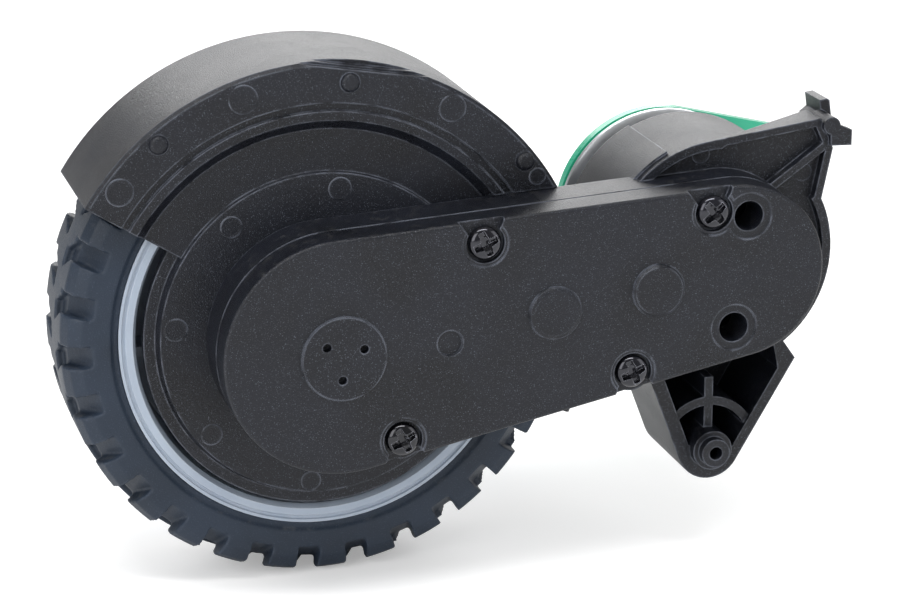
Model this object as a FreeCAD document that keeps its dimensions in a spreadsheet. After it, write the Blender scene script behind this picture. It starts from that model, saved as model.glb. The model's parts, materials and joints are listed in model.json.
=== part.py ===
"""Drive wheel module of a robot vacuum: geared motor, lugged wheel and guard.

Every piece is drawn in one arm frame. Its origin is the wheel axis on the seat
plane, where the gear case sits on the wheel guard. X runs along the arm to the
motor, Y runs up across the arm and Z comes out towards the gear case cover.
The module's own frame has its origin at the mouth of the pivot bore, Y into
the depth and Z up, and the arm rises in it by the arm angle.
"""
import FreeCAD, Part
import Sketcher
import math
import os
import re

doc = FreeCAD.newDocument("wheel_module")
sheet = doc.addObject("Spreadsheet::Sheet", "Sizes")

SIZES = {
    # Gear train, from the motor to the wheel
    "fine_module": 0.5,
    "coarse_module": 0.6,
    "motor_pinion_teeth": 11,
    "first_wheel_teeth": 38,
    "first_pinion_teeth": 14,
    "second_wheel_teeth": 36,
    "second_pinion_teeth": 18,
    "third_wheel_teeth": 32,
    "third_pinion_teeth": 14,
    "output_wheel_teeth": 36,
    "pressure_angle": 20,
    "addendum_factor": 0.75,
    "dedendum_factor": 1.1,
    "backlash": 0.12,
    "gear_face": 2.3,
    "layer_gap": 0.4,
    "gear_pin_radius": 1.0,
    "gear_pin_seat": 0.8,
    "running_fit": 0.05,
    "end_play": 0.3,
    # Gear case: cover and housing
    "arm_angle": 7.76,
    "case_end_offset": 0.25,
    "wheel_end_radius": 16.5,
    "motor_end_radius": 12.4,
    "case_height": 11.7,
    "cover_height": 5.0,
    "case_wall": 1.4,
    "face_wall": 1.6,
    "floor_wall": 1.5,
    "cover_edge_round": 0.5,
    "reveal_height": 0.35,
    "reveal_depth": 0.25,
    "axle_disc_radius": 5.85,
    "axle_disc_height": 0.35,
    "axle_hole_radius": 0.6,
    "axle_hole_circle": 3.0,
    "axle_hole_phase": 16,
    "axle_hole_depth": 1.3,
    "pin_boss_radius": 3.7,
    "pin_boss_height": 0.6,
    "gate_reach": 14.8,
    "gate_offset": -1.1,
    "gate_radius": 1.8,
    "gate_depth": 0.4,
    # Cover screws
    "screw_head_radius": 2.15,
    "screw_head_height": 1.5,
    "screw_shank_radius": 1.3,
    "screw_pocket_radius": 2.7,
    "screw_pocket_depth": 1.2,
    "screw_rim_radius": 3.2,
    "screw_rim_depth": 0.2,
    "screw_notch_half": 2.0,
    "screw_notch_flare": 2.2,
    "screw_notch_reach": 5.2,
    "screw_pillar_radius": 3.0,
    "screw_column_radius": 1.8,
    "screw_bite": 5.2,
    # Motor screws and their access tubes
    "motor_screw_circle": 8.0,
    "motor_screw_angle": 75.7,
    "motor_screw_head_radius": 1.95,
    "motor_screw_head_height": 1.4,
    "access_hole_radius": 2.1,
    "access_tube_radius": 2.9,
    "access_tube_length": 5.0,
    "access_ring_radius": 3.3,
    "access_ring_depth": 0.2,
    # Motor barrel of the housing
    "barrel_radius": 16.8,
    "barrel_wall": 2.7,
    "barrel_depth": 15.0,
    "barrel_seam_angle": 109,
    "barrel_step": 0.35,
    "rim_height": 3.0,
    "rim_wall": 1.3,
    # Spring wing and hook
    "wing_wall": 1.1,
    "wing_top": 16.8,
    "wing_reach": 74.3,
    "wing_corner_reach": 75.7,
    "wing_corner_height": 12.2,
    "wing_root_reach": 73.2,
    "wing_root_height": 5.05,
    "wing_start_reach": 60.0,
    "wing_start_depth": 0.5,
    "wing_skirt": 5.6,
    "wing_rib_reach": 66.0,
    "wing_rib_rise": 8.3,
    "wing_rib_length": 9.7,
    "wing_rib_angle": 27.5,
    "hook_bar_radius": 1.25,
    "hook_reach": 75.6,
    "hook_height": 15.6,
    "hook_gap": 3.4,
    "hook_flange": 1.6,
    "hook_front_length": 2.9,
    "hook_back_height": 2.6,
    "hook_tab_width": 1.5,
    "hook_tab_depth": 5.6,
    # Pivot lug
    "pivot_reach": 52.5,
    "pivot_drop": 28.1,
    "pivot_bore_radius": 0.95,
    "pivot_bore_depth": 14.0,
    "pivot_sleeve_radius": 2.1,
    "pivot_sleeve_tip": 6.0,
    "pivot_collar_radius": 2.9,
    "pivot_collar_tip": 4.6,
    "lug_end_radius": 4.7,
    "lug_left_angle": 192.9,
    "lug_right_angle": -38.4,
    "lug_left_length": 18.0,
    "lug_right_length": 17.2,
    "lug_wall": 1.55,
    "lug_left_wall": 2.0,
    "lug_depth": 12.3,
    "lug_rib_radius": 6.8,
    "lug_rib_width": 1.3,
    "lug_rib_length": 10.4,
    # Wheel guard
    "disc_radius": 22.9,
    "disc_wall": 1.5,
    "disc_rim_radius": 25.0,
    "disc_rim_step": 1.4,
    "guard_face": 0.6,
    "guard_wall": 1.3,
    "guard_step_radius": 30.3,
    "guard_step_depth": 1.2,
    "guard_low_wall": 0.75,
    "guard_step_run": 1.3,
    "guard_radius": 38.4,
    "guard_top_wall": 1.4,
    "guard_depth": 21.0,
    "guard_start_angle": -30,
    "guard_end_angle": 140.4,
    "guard_groove_radius": 32.7,
    "guard_groove_width": 1.1,
    "guard_groove_depth": 0.5,
    "guard_dome_radius": 1.35,
    "guard_flat_angle": 73.2,
    "guard_flat_drop": 1.1,
    "guard_flat_width": 2.0,
    "guard_edge_round": 0.5,
    "guard_screw_circle": 13.3,
    "guard_screw_head_radius": 1.7,
    "guard_screw_head_height": 1.1,
    "guard_screw_radius": 0.9,
    "guard_screw_bite": 4.0,
    "guard_column_radius": 1.75,
    "fit_gap": 0.1,
    # Output shaft and its bushes
    "shaft_radius": 2.5,
    "journal_radius": 2.0,
    "bush_wall": 1.2,
    "front_bush_length": 2.1,
    "rear_bush_length": 6.0,
    "rear_boss_length": 7.0,
    "boss_wall": 1.4,
    "gear_hub_radius": 4.4,
    "shaft_flat": 0.4,
    "thrust_washer": 0.4,
    # Wheel
    "wheel_front": 2.2,
    "wheel_width": 16.1,
    "ring_outer_radius": 28.3,
    "ring_inner_radius": 25.8,
    "ring_lip": 0.7,
    "ring_flange": 1.2,
    "web_wall": 1.8,
    "web_recess": 2.3,
    "hub_radius": 6.2,
    "web_rib_width": 1.4,
    "web_rib_height": 5.0,
    "wheel_screw_radius": 1.25,
    "wheel_screw_head_radius": 2.6,
    "wheel_screw_head_height": 1.4,
    "wheel_screw_bite": 7.0,
    "wheel_washer_radius": 4.6,
    "wheel_washer": 0.7,
    # Tyre
    "tyre_radius": 36.0,
    "tyre_front": 1.7,
    "tyre_width": 17.8,
    "tyre_shoulder": 2.6,
    "tyre_bead_width": 0.8,
    "lug_count": 30,
    "lug_phase": 6.5,
    "pocket_inner_radius": 31.8,
    "pocket_end_radius": 34.8,
    "pocket_run": 4.5,
    "groove_width": 3.1,
    "groove_straight": 3.6,
    "groove_length": 7.6,
    "groove_sweep": 2.2,
    # Motor
    "can_radius": 13.85,
    "can_wall": 1.0,
    "can_length": 21.2,
    "can_bead": 0.45,
    "can_bead_width": 2.0,
    "motor_boss_radius": 5.0,
    "motor_boss_height": 1.2,
    "motor_shaft_radius": 1.15,
    "motor_bush_wall": 1.4,
    "brush_width": 2.4,
    "brush_thickness": 1.5,
    "brush_length": 4.0,
    "magnet_wall": 1.6,
    "magnet_length": 14.0,
    "armature_radius": 10.7,
    "armature_length": 11.0,
    "armature_poles": 5,
    "commutator_radius": 3.4,
    "end_cap_wall": 1.6,
    "end_cap_boss": 2.5,
    # Encoder board
    "board_gap": 0.8,
    "board_thickness": 1.6,
    "board_radius": 15.6,
    "board_tangent": 69,
    "board_tail_reach": 78.5,
    "board_tail_low": -3.0,
    "encoder_radius": 4.6,
    "encoder_length": 2.6,
    "terminal_circle": 9.4,
    "terminal_width": 2.4,
    "terminal_thickness": 0.5,
    "socket_length": 9.0,
    "socket_width": 4.8,
    "socket_height": 5.6,
    "socket_wall": 0.8,
    "socket_pins": 5,
}
for row, (alias, number) in enumerate(SIZES.items(), start=1):
    sheet.set(f"A{row}", alias.replace("_", " "))
    sheet.set(f"B{row}", str(number))
    sheet.setAlias(f"B{row}", alias)
doc.recompute()


def mesh_reach(module, wheel, pinion):
    """Centre distance of a pair of gears, as an expression."""
    return f"({module}*({wheel}+{pinion})/2)"


# Gear axes along the arm
THIRD_REACH = mesh_reach("coarse_module", "output_wheel_teeth", "third_pinion_teeth")
SECOND_REACH = f"({THIRD_REACH}+{mesh_reach('coarse_module', 'third_wheel_teeth', 'second_pinion_teeth')})"
FIRST_REACH = f"({SECOND_REACH}+{mesh_reach('coarse_module', 'second_wheel_teeth', 'first_pinion_teeth')})"
MOTOR_REACH = f"({FIRST_REACH}+{mesh_reach('fine_module', 'first_wheel_teeth', 'motor_pinion_teeth')})"
CASE_END = f"({MOTOR_REACH}-case_end_offset)"

# Heights above the seat plane
SPLIT = "(case_height-cover_height)"
CEILING = "(case_height-face_wall)"
LAYER_ONE = "(floor_wall+end_play)"
LAYER_TWO = f"({LAYER_ONE}+gear_face+layer_gap)"
LAYER_THREE = f"({LAYER_TWO}+gear_face+layer_gap)"
HUB_TOP = f"({CEILING}-end_play)"
SCREW_SEAT = "(case_height-screw_pocket_depth)"
WHEEL_BACK = "(-wheel_front-wheel_width)"
WEB_BACK = f"({WHEEL_BACK}+web_recess)"
HUB_FRONT = "(-rear_boss_length-end_play-thrust_washer)"
CAN_BACK = "(-can_length)"
CAP_BACK = "(-can_length-end_cap_wall)"
BOARD_FRONT = f"({CAP_BACK}-board_gap)"
BOARD_BACK = f"({BOARD_FRONT}-board_thickness)"
BUSH_RADIUS_FRONT = "(journal_radius+bush_wall)"
BUSH_RADIUS_REAR = "(shaft_radius+bush_wall)"

# Places of the four cover screws along and across the arm
COVER_SCREWS = ((6.45, -13.4), (21.6, 11.7), (54.3, 9.25), (40.0, -11.0))
GUARD_SCREW_ANGLES = (90, 170, 250)
GUARD_DOMES = ((36.3, 120.6), (35.6, 76), (36.6, 30.8))


def bound(expression):
    """The same expression, with each size read from the sheet."""
    return re.sub(r"[a-z_]+", lambda word: f"Sizes.{word[0]}" if word[0] in SIZES else word[0], str(expression))


def value(expression):
    return float(sheet.evalExpression(str(expression)))


def polar(radius, angle, reach="0", rise="0"):
    """A point at a radius and an angle in degrees about (reach, rise)."""
    return f"{reach}+{radius}*cos({angle})", f"{rise}+{radius}*sin({angle})"


def place(piece, reach="0", turn="0"):
    """Put a piece from the arm frame into the module's frame, turned about its own axis."""
    along = f"({reach}-pivot_reach)"
    base = {
        "x": f"{along}*cos(arm_angle)-pivot_drop*sin(arm_angle)",
        "y": "pivot_sleeve_tip",
        "z": f"{along}*sin(arm_angle)+pivot_drop*cos(arm_angle)",
    }
    facing = FreeCAD.Rotation(FreeCAD.Vector(1, 0, 0), 90)
    rise = FreeCAD.Rotation(FreeCAD.Vector(0, 0, 1), value(f"arm_angle+{turn}"))
    spot = FreeCAD.Vector(*(value(base[axis]) for axis in "xyz"))
    piece.Placement = FreeCAD.Placement(spot, facing.multiply(rise))
    for axis in "xyz":
        piece.setExpression(f"Placement.Base.{axis}", bound(base[axis]))


PIECES = []


def new_body(name, reach="0", parts=1, turn="0"):
    """A piece, or a few alike that share a node, placed by its axis along the arm."""
    body = doc.addObject("PartDesign::Body", name)
    body.Label = name
    body.AllowCompound = parts > 1
    place(body, reach, turn)
    PIECES.append(body)
    return body


def origin_feature(body, role):
    return next(feature for feature in body.Origin.OriginFeatures if feature.Role == role)


def new_sketch(body, name, height="0", role="XY_Plane", turn="0"):
    """A sketch on an origin plane of its own body, lifted to a height, upright ones turned about Z."""
    sketch = body.newObject("Sketcher::SketchObject", f"{body.Name}_{name}")
    sketch.AttachmentSupport = [(origin_feature(body, role), "")]
    sketch.MapMode = "FlatFace"
    about = FreeCAD.Rotation(FreeCAD.Vector(0, 1, 0), value(turn))
    sketch.AttachmentOffset = FreeCAD.Placement(FreeCAD.Vector(), about)
    sketch.setExpression("AttachmentOffset.Base.x", bound(f"({height})*sin({turn})"))
    sketch.setExpression("AttachmentOffset.Base.z", bound(f"({height})*cos({turn})"))
    return sketch


def hold(sketch, kind, places, expression):
    """One dimension of a sketch, tied to the sheet."""
    index = sketch.addConstraint(Sketcher.Constraint(kind, *places, value(expression)))
    sketch.setExpression(f"Constraints[{index}]", bound(expression))


def hold_point(sketch, geometry, point, spot):
    hold(sketch, "DistanceX", (-1, 1, geometry, point), spot[0])
    hold(sketch, "DistanceY", (-1, 1, geometry, point), spot[1])


def draw_circle(sketch, radius, reach="0", rise="0"):
    centre = FreeCAD.Vector(value(reach), value(rise), 0)
    index = sketch.addGeometry(Part.Circle(centre, FreeCAD.Vector(0, 0, 1), value(radius)), False)
    hold_point(sketch, index, 3, (reach, rise))
    hold(sketch, "Radius", (index,), radius)


def draw_polygon(sketch, points):
    corners = [FreeCAD.Vector(value(x), value(y), 0) for x, y in points]
    first, count = sketch.GeometryCount, len(points)
    for number in range(count):
        sketch.addGeometry(Part.LineSegment(corners[number], corners[(number + 1) % count]), False)
    for number in range(count):
        following = first + (number + 1) % count
        sketch.addConstraint(Sketcher.Constraint("Coincident", first + number, 2, following, 1))
    for number, spot in enumerate(points):
        hold_point(sketch, first + number, 1, spot)


def draw_bar(sketch, foot, length, angle, width):
    """A straight bar, by the middle of its foot, its length and its angle."""
    left = polar(f"{width}*0.5", f"({angle}+90)", *foot)
    right = polar(f"{width}*0.5", f"({angle}-90)", *foot)
    draw_polygon(sketch, [left, right, polar(length, angle, *right), polar(length, angle, *left)])


def draw_stadium(sketch, inset="0"):
    """The gear case outline: two arcs and their tangents, moved inwards by inset."""
    near = ("0", "0", f"wheel_end_radius-{inset}")
    far = (CASE_END, "0", f"motor_end_radius-{inset}")
    near_radius, far_radius, span = value(near[2]), value(far[2]), value(CASE_END)
    half = math.acos((near_radius - far_radius) / span)
    out = FreeCAD.Vector(0, 0, 1)
    near_arc = Part.Circle(FreeCAD.Vector(0, 0, 0), out, near_radius)
    far_arc = Part.Circle(FreeCAD.Vector(span, 0, 0), out, far_radius)

    def at(radius, centre, angle):
        return FreeCAD.Vector(centre + radius * math.cos(angle), radius * math.sin(angle), 0)

    first = sketch.GeometryCount
    sketch.addGeometry(Part.ArcOfCircle(near_arc, half, 2 * math.pi - half), False)
    sketch.addGeometry(Part.LineSegment(at(near_radius, 0, -half), at(far_radius, span, -half)), False)
    sketch.addGeometry(Part.ArcOfCircle(far_arc, -half, half), False)
    sketch.addGeometry(Part.LineSegment(at(far_radius, span, half), at(near_radius, 0, half)), False)
    for number in range(4):
        following = first + (number + 1) % 4
        sketch.addConstraint(Sketcher.Constraint("Tangent", first + number, 2, following, 1))
    for arc, (reach, rise, radius) in ((first, near), (first + 2, far)):
        hold_point(sketch, arc, 3, (reach, rise))
        hold(sketch, "Radius", (arc,), radius)


def draw_sector(sketch, inner, outer, start, end, reach="0", rise="0"):
    """A ring sector between two radii and two angles."""
    centre = FreeCAD.Vector(value(reach), value(rise), 0)
    out = FreeCAD.Vector(0, 0, 1)
    small, large = Part.Circle(centre, out, value(inner)), Part.Circle(centre, out, value(outer))
    low, high = math.radians(value(start)), math.radians(value(end))
    corner = [circle.value(angle) for circle in (small, large) for angle in (low, high)]
    first = sketch.GeometryCount
    sketch.addGeometry(Part.ArcOfCircle(small, low, high), False)
    sketch.addGeometry(Part.LineSegment(corner[1], corner[3]), False)
    sketch.addGeometry(Part.ArcOfCircle(large, low, high), False)
    sketch.addGeometry(Part.LineSegment(corner[2], corner[0]), False)
    for this, end_point, other, start_point in ((0, 2, 1, 1), (1, 2, 2, 2), (2, 1, 3, 1), (3, 2, 0, 1)):
        sketch.addConstraint(Sketcher.Constraint(
            "Coincident", first + this, end_point, first + other, start_point))
    for arc, radius in ((first, inner), (first + 2, outer)):
        hold_point(sketch, arc, 3, (reach, rise))
        hold(sketch, "Radius", (arc,), radius)


def pad(body, sketch, length, down=False):
    """Add material from a sketch up to a height above it, or down below it."""
    feature = body.newObject("PartDesign::Pad", f"{sketch.Name}_pad")
    feature.Profile = sketch
    feature.Length = value(length)
    feature.setExpression("Length", bound(length))
    feature.Reversed = down
    sketch.Visibility = False
    doc.recompute()
    return feature


def pocket(body, sketch, depth=None, up=False):
    """Cut away below a sketch, or above it, and make sure that it cuts."""
    before = body.Shape.Volume
    feature = body.newObject("PartDesign::Pocket", f"{sketch.Name}_cut")
    feature.Profile = sketch
    if depth is None:
        feature.Type = 1
    else:
        feature.Length = value(depth)
        feature.setExpression("Length", bound(depth))
    feature.Reversed = up
    sketch.Visibility = False
    doc.recompute()
    if not feature.Shape.Volume < before:
        raise RuntimeError(f"{feature.Name} cuts nothing")
    return feature


def revolve(body, name, points, cut=False):
    """Turn a profile of (radius, height) points about the piece's Z axis."""
    sketch = new_sketch(body, name, role="XZ_Plane")
    draw_polygon(sketch, points)
    before = body.Shape.Volume if cut else 0
    kind = "PartDesign::Groove" if cut else "PartDesign::Revolution"
    feature = body.newObject(kind, f"{sketch.Name}_turn")
    feature.Profile = sketch
    feature.ReferenceAxis = (sketch, ["V_Axis"])
    feature.Angle = 360
    sketch.Visibility = False
    doc.recompute()
    if cut and not feature.Shape.Volume < before:
        raise RuntimeError(f"{feature.Name} cuts nothing")
    return feature


def around(body, originals, count):
    """Repeat features around the piece's Z axis."""
    pattern = body.newObject("PartDesign::PolarPattern", f"{originals[0].Name}_around")
    pattern.Originals = originals
    pattern.Axis = (origin_feature(body, "Z_Axis"), [""])
    pattern.Angle = 360
    pattern.Occurrences = int(value(count))
    pattern.setExpression("Occurrences", bound(count))
    body.Tip = pattern
    doc.recompute()
    return pattern


def disc(body, name, radius, bottom, top, reach="0", rise="0"):
    """A round boss between two heights."""
    sketch = new_sketch(body, name, bottom)
    draw_circle(sketch, radius, reach, rise)
    return pad(body, sketch, f"{top}-{bottom}")


def bore(body, name, radius, top, bottom, reach="0", rise="0"):
    """A round hole cut downwards between two heights."""
    sketch = new_sketch(body, name, top)
    draw_circle(sketch, radius, reach, rise)
    return pocket(body, sketch, f"{top}-{bottom}")


def soften_edges(body, base, kind, size, height):
    """A fillet or a chamfer along the edges that lie at one height."""
    names = []
    for number, edge in enumerate(base.Shape.Edges, start=1):
        box = edge.BoundBox
        if max(abs(box.ZMin - value(height)), abs(box.ZMax - value(height))) < 1e-4:
            names.append(f"Edge{number}")
    feature = body.newObject(f"PartDesign::{kind}", f"{base.Name}_edge")
    feature.Base = (base, names)
    measure = {"Fillet": "Radius", "Chamfer": "Size"}[kind]
    setattr(feature, measure, value(size))
    feature.setExpression(measure, bound(size))
    doc.recompute()
    return feature


def new_group(name, solids, reach="0"):
    """Separate solids of one kind that share a node."""
    group = doc.addObject("Part::Feature", name)
    group.Label = name
    group.Shape = Part.makeCompound(solids)
    place(group, reach)
    PIECES.append(group)
    return group


def turned(points):
    """A solid turned from (radius, height) points about the Z axis."""
    corners = [FreeCAD.Vector(value(radius), 0, value(height)) for radius, height in points]
    face = Part.Face(Part.makePolygon(corners + corners[:1]))
    return face.revolve(FreeCAD.Vector(), FreeCAD.Vector(0, 0, 1), 360)


def moved(solid, reach, rise):
    copy = solid.copy()
    copy.translate(FreeCAD.Vector(value(reach), value(rise), 0))
    return copy


def pan_screw(seat, head_radius, head_height, shank_radius, tip, out=1):
    """A pan head screw: its head stands out from the seat and its shank runs to the tip."""
    crown = f"{seat}+{out}*{head_height}"
    shoulder = f"{seat}+{out}*{head_height}*0.6"
    points = [("0", crown), (f"{head_radius}*0.65", crown), (head_radius, shoulder),
              (head_radius, seat), (shank_radius, seat),
              (shank_radius, f"{tip}+{out}*{shank_radius}"), ("0", tip)]
    return turned(points)


def involute(angle):
    return math.tan(angle) - angle


def gap_half_angle(teeth, module, radius):
    """Half the angle of the gap between two teeth at a radius, with its backlash."""
    pressure = math.radians(value("pressure_angle"))
    pitch = value(f"{module}*{teeth}/2")
    base = pitch * math.cos(pressure)
    local = math.acos(min(1.0, base / radius))
    tooth = math.pi / (2 * value(teeth)) + involute(pressure) - involute(local)
    return math.pi / value(teeth) - tooth + value("backlash") / (2 * radius)


def toothed(body, name, teeth, module, bottom, top, facing):
    """A spur gear with a gap that faces the motor, or a tooth that faces the wheel."""
    tip = f"({module}*({teeth}/2+addendum_factor))"
    root = f"({module}*({teeth}/2-dedendum_factor))"
    blank = disc(body, f"{name}_blank", tip, bottom, top)
    first_gap = {"gap": 0, "tooth_back": 180 + 180 / value(teeth)}[facing]
    overcut = value(tip) + value(module)
    corners = []
    for radius in (value(root), value(tip)):
        half = gap_half_angle(teeth, module, radius)
        corners.append((radius, half))
    slope = (corners[1][1] - corners[0][1]) / (corners[1][0] - corners[0][0])
    corners.append((overcut, corners[1][1] + slope * (overcut - corners[1][0])))
    outline = [(radius, -half) for radius, half in (corners[0], corners[2])]
    outline += [(radius, half) for radius, half in (corners[2], corners[0])]
    sketch = new_sketch(body, f"{name}_gap", top)
    turn = math.radians(first_gap)
    draw_polygon(sketch, [(radius * math.cos(half + turn), radius * math.sin(half + turn))
                          for radius, half in outline])
    gap = pocket(body, sketch, f"{top}-{bottom}")
    return blank, around(body, [gap], teeth)


def gear_cover():
    """Front shell of the gear case."""
    body = new_body("gear_cover")
    outline = new_sketch(body, "outline", SPLIT)
    draw_stadium(outline)
    shell = pad(body, outline, "cover_height")
    soften_edges(body, shell, "Fillet", "cover_edge_round", "case_height")
    hollow = new_sketch(body, "hollow", SPLIT)
    draw_stadium(hollow, "case_wall")
    pocket(body, hollow, "cover_height-face_wall", up=True)
    disc(body, "axle_disc", "axle_disc_radius", CEILING, "(case_height+axle_disc_height)")
    for name, reach in (("second", SECOND_REACH), ("first", FIRST_REACH)):
        disc(body, f"{name}_boss", "pin_boss_radius", CEILING, "(case_height+pin_boss_height)", reach)
        soften_edges(body, body.Tip, "Chamfer", "pin_boss_height*0.5", "case_height+pin_boss_height")
    disc(body, "bush_boss", f"({BUSH_RADIUS_FRONT}+boss_wall)", f"({CEILING}-front_bush_length-end_play)", CEILING)
    bore(body, "bush_seat", BUSH_RADIUS_FRONT, CEILING, f"({SPLIT}-1)")
    for number, (reach, rise) in enumerate(COVER_SCREWS, start=1):
        disc(body, f"pillar_{number}", "screw_pillar_radius", SPLIT, SCREW_SEAT, reach, rise)
        bore(body, f"pocket_rim_{number}", "screw_rim_radius", "(case_height+1)",
             "(case_height-screw_rim_depth)", reach, rise)
        bore(body, f"pocket_{number}", "screw_pocket_radius", "(case_height+1)", SCREW_SEAT, reach, rise)
        bore(body, f"screw_hole_{number}", f"(screw_shank_radius+fit_gap)", SCREW_SEAT, f"({SPLIT}-1)", reach, rise)
        side = math.copysign(1, rise)
        notch = new_sketch(body, f"notch_{number}", "case_height+1")
        inner = f"{rise}+{side}*screw_pocket_radius*0.45"
        outer = f"{rise}+{side}*screw_notch_reach"
        wide = "(screw_notch_half+screw_notch_flare)"
        draw_polygon(notch, [(f"{reach}-screw_notch_half", inner), (f"{reach}+screw_notch_half", inner),
                             (f"{reach}+{wide}", outer), (f"{reach}-{wide}", outer)])
        pocket(body, notch, "screw_pocket_depth+1")
    for number, turn in enumerate((0, 180), start=1):
        reach, rise = polar("motor_screw_circle", f"(motor_screw_angle+{turn})", MOTOR_REACH)
        disc(body, f"access_tube_{number}", "access_tube_radius", f"({CEILING}-access_tube_length)",
             CEILING, reach, rise)
        bore(body, f"access_ring_{number}", "access_ring_radius", "(case_height+1)",
             "(case_height-access_ring_depth)", reach, rise)
        bore(body, f"access_hole_{number}", "access_hole_radius", "(case_height+1)", "0", reach, rise)
    for name, reach in (("first", FIRST_REACH), ("second", SECOND_REACH), ("third", THIRD_REACH)):
        seat = new_sketch(body, f"{name}_pin_seat", CEILING)
        draw_circle(seat, "gear_pin_radius", reach)
        pocket(body, seat, "gear_pin_seat", up=True)
    bore(body, "gate", "gate_radius", "(case_height+1)", "(case_height-gate_depth)", "gate_reach", "gate_offset")
    hole = bore(body, "axle_hole", "axle_hole_radius", "(case_height+axle_disc_height+1)",
                "(case_height+axle_disc_height-axle_hole_depth)", *polar("axle_hole_circle", "axle_hole_phase"))
    around(body, [hole], "3")


def pivot_point():
    return "pivot_reach", "(-pivot_drop)"


def lug_flank(angle, offset, distance):
    """A point on a side of the lug, by its offset from the pivot and the run up from it."""
    turn = 90 if value(angle) < 0 else -90
    reach, rise = pivot_point()
    return (f"{reach}+{offset}*cos({angle})+{distance}*cos({angle}+{turn})",
            f"{rise}+{offset}*sin({angle})+{distance}*sin({angle}+{turn})")


def draw_tray(sketch):
    """The open inside of the wing, which runs on into the crescent behind the rim."""
    inside = "(barrel_radius-rim_wall-0.3)"
    draw_polygon(sketch, [polar(inside, "84", MOTOR_REACH), ("wing_start_reach", "wing_top-wing_wall"),
                          ("wing_reach-wing_wall*0.75", "wing_top-wing_wall"),
                          ("wing_corner_reach-wing_wall*1.05", "wing_corner_height"),
                          ("wing_root_reach-wing_wall*0.9", "wing_root_height+wing_wall*0.5"),
                          polar(inside, "20", MOTOR_REACH), polar(inside, "52", MOTOR_REACH)])


def add_wing(body):
    """The wing beside the barrel: a floor with a wall round it that deepens towards the hook."""
    wing = new_sketch(body, "wing", "rim_height")
    draw_polygon(wing, [(MOTOR_REACH, "barrel_radius*0.8"), (MOTOR_REACH, "wing_top"),
                        ("wing_reach", "wing_top"), ("wing_corner_reach", "wing_corner_height"),
                        ("wing_root_reach", "wing_root_height"),
                        (f"{MOTOR_REACH}+barrel_radius*0.8", "barrel_radius*0.2")])
    pad(body, wing, "wing_skirt", down=True)
    slant = new_sketch(body, "wing_slant", role="XZ_Plane")
    under = "(rim_height-wing_skirt)"
    draw_polygon(slant, [(f"({MOTOR_REACH}-1)", f"{under}-1"), ("wing_reach", f"{under}-1"),
                         ("wing_reach", under), ("wing_start_reach", "rim_height-wing_start_depth"),
                         (f"({MOTOR_REACH}-1)", "rim_height-wing_start_depth")])
    pocket(body, slant)
    hollow = new_sketch(body, "wing_hollow", "0")
    draw_tray(hollow)
    pocket(body, hollow, "wing_skirt")


def add_barrel(body):
    """The motor barrel, its front rim, the crescent behind the rim and the wing's tray."""
    barrel = new_sketch(body, "barrel", "rim_height")
    draw_circle(barrel, "barrel_radius", MOTOR_REACH)
    pad(body, barrel, "rim_height+barrel_depth", down=True)
    step = new_sketch(body, "barrel_step", "floor_wall")
    draw_sector(step, "barrel_radius-barrel_wall*0.5", "barrel_radius+barrel_step", "barrel_seam_angle",
                "(barrel_seam_angle+105)", MOTOR_REACH)
    pad(body, step, "floor_wall+barrel_depth", down=True)
    bore(body, "crescent", "(barrel_radius-rim_wall)", "rim_height", "floor_wall", MOTOR_REACH)
    tray = new_sketch(body, "tray", "rim_height")
    draw_tray(tray)
    pocket(body, tray, "rim_height-floor_wall")
    rib = new_sketch(body, "wing_rib", "floor_wall")
    draw_bar(rib, ("wing_rib_reach", "wing_rib_rise"), "wing_rib_length", "wing_rib_angle", "wing_wall")
    pad(body, rib, "rim_height-floor_wall")


def add_hook(body):
    """The spring hook: a bar between an upright tab at the back and a nose at the front."""
    front = "(rim_height+hook_flange*0.5)"
    back = f"({front}-hook_flange-hook_gap)"
    disc(body, "hook_bar", "hook_bar_radius", back, front, "hook_reach", "hook_height")
    nose = new_sketch(body, "hook_nose", front)
    draw_polygon(nose, [("hook_reach-hook_bar_radius*0.4", "hook_height-hook_bar_radius*2.25"),
                        ("hook_reach+hook_front_length-0.3", "hook_height-hook_bar_radius*2.65"),
                        ("hook_reach+hook_front_length", "hook_height-hook_bar_radius*0.9"),
                        ("hook_reach-hook_bar_radius*0.15", "hook_height+hook_bar_radius*0.55")])
    pad(body, nose, "hook_flange", down=True)
    tab = new_sketch(body, "hook_tab", back)
    outside = "(hook_reach+hook_bar_radius*0.3+hook_tab_width)"
    top = "(hook_height+hook_back_height)"
    draw_polygon(tab, [("hook_reach-hook_bar_radius*0.6", "hook_height-hook_bar_radius*2.1"),
                       (outside, "hook_height-hook_bar_radius*1.3"), (outside, f"{top}-0.3"),
                       (f"{outside}-0.3", top), (f"{outside}-hook_tab_width", top),
                       (f"{outside}-hook_tab_width", "hook_height+hook_bar_radius*0.5"),
                       ("hook_reach-hook_bar_radius*0.6", "hook_height")])
    pad(body, tab, "hook_tab_depth", down=True)


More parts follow.
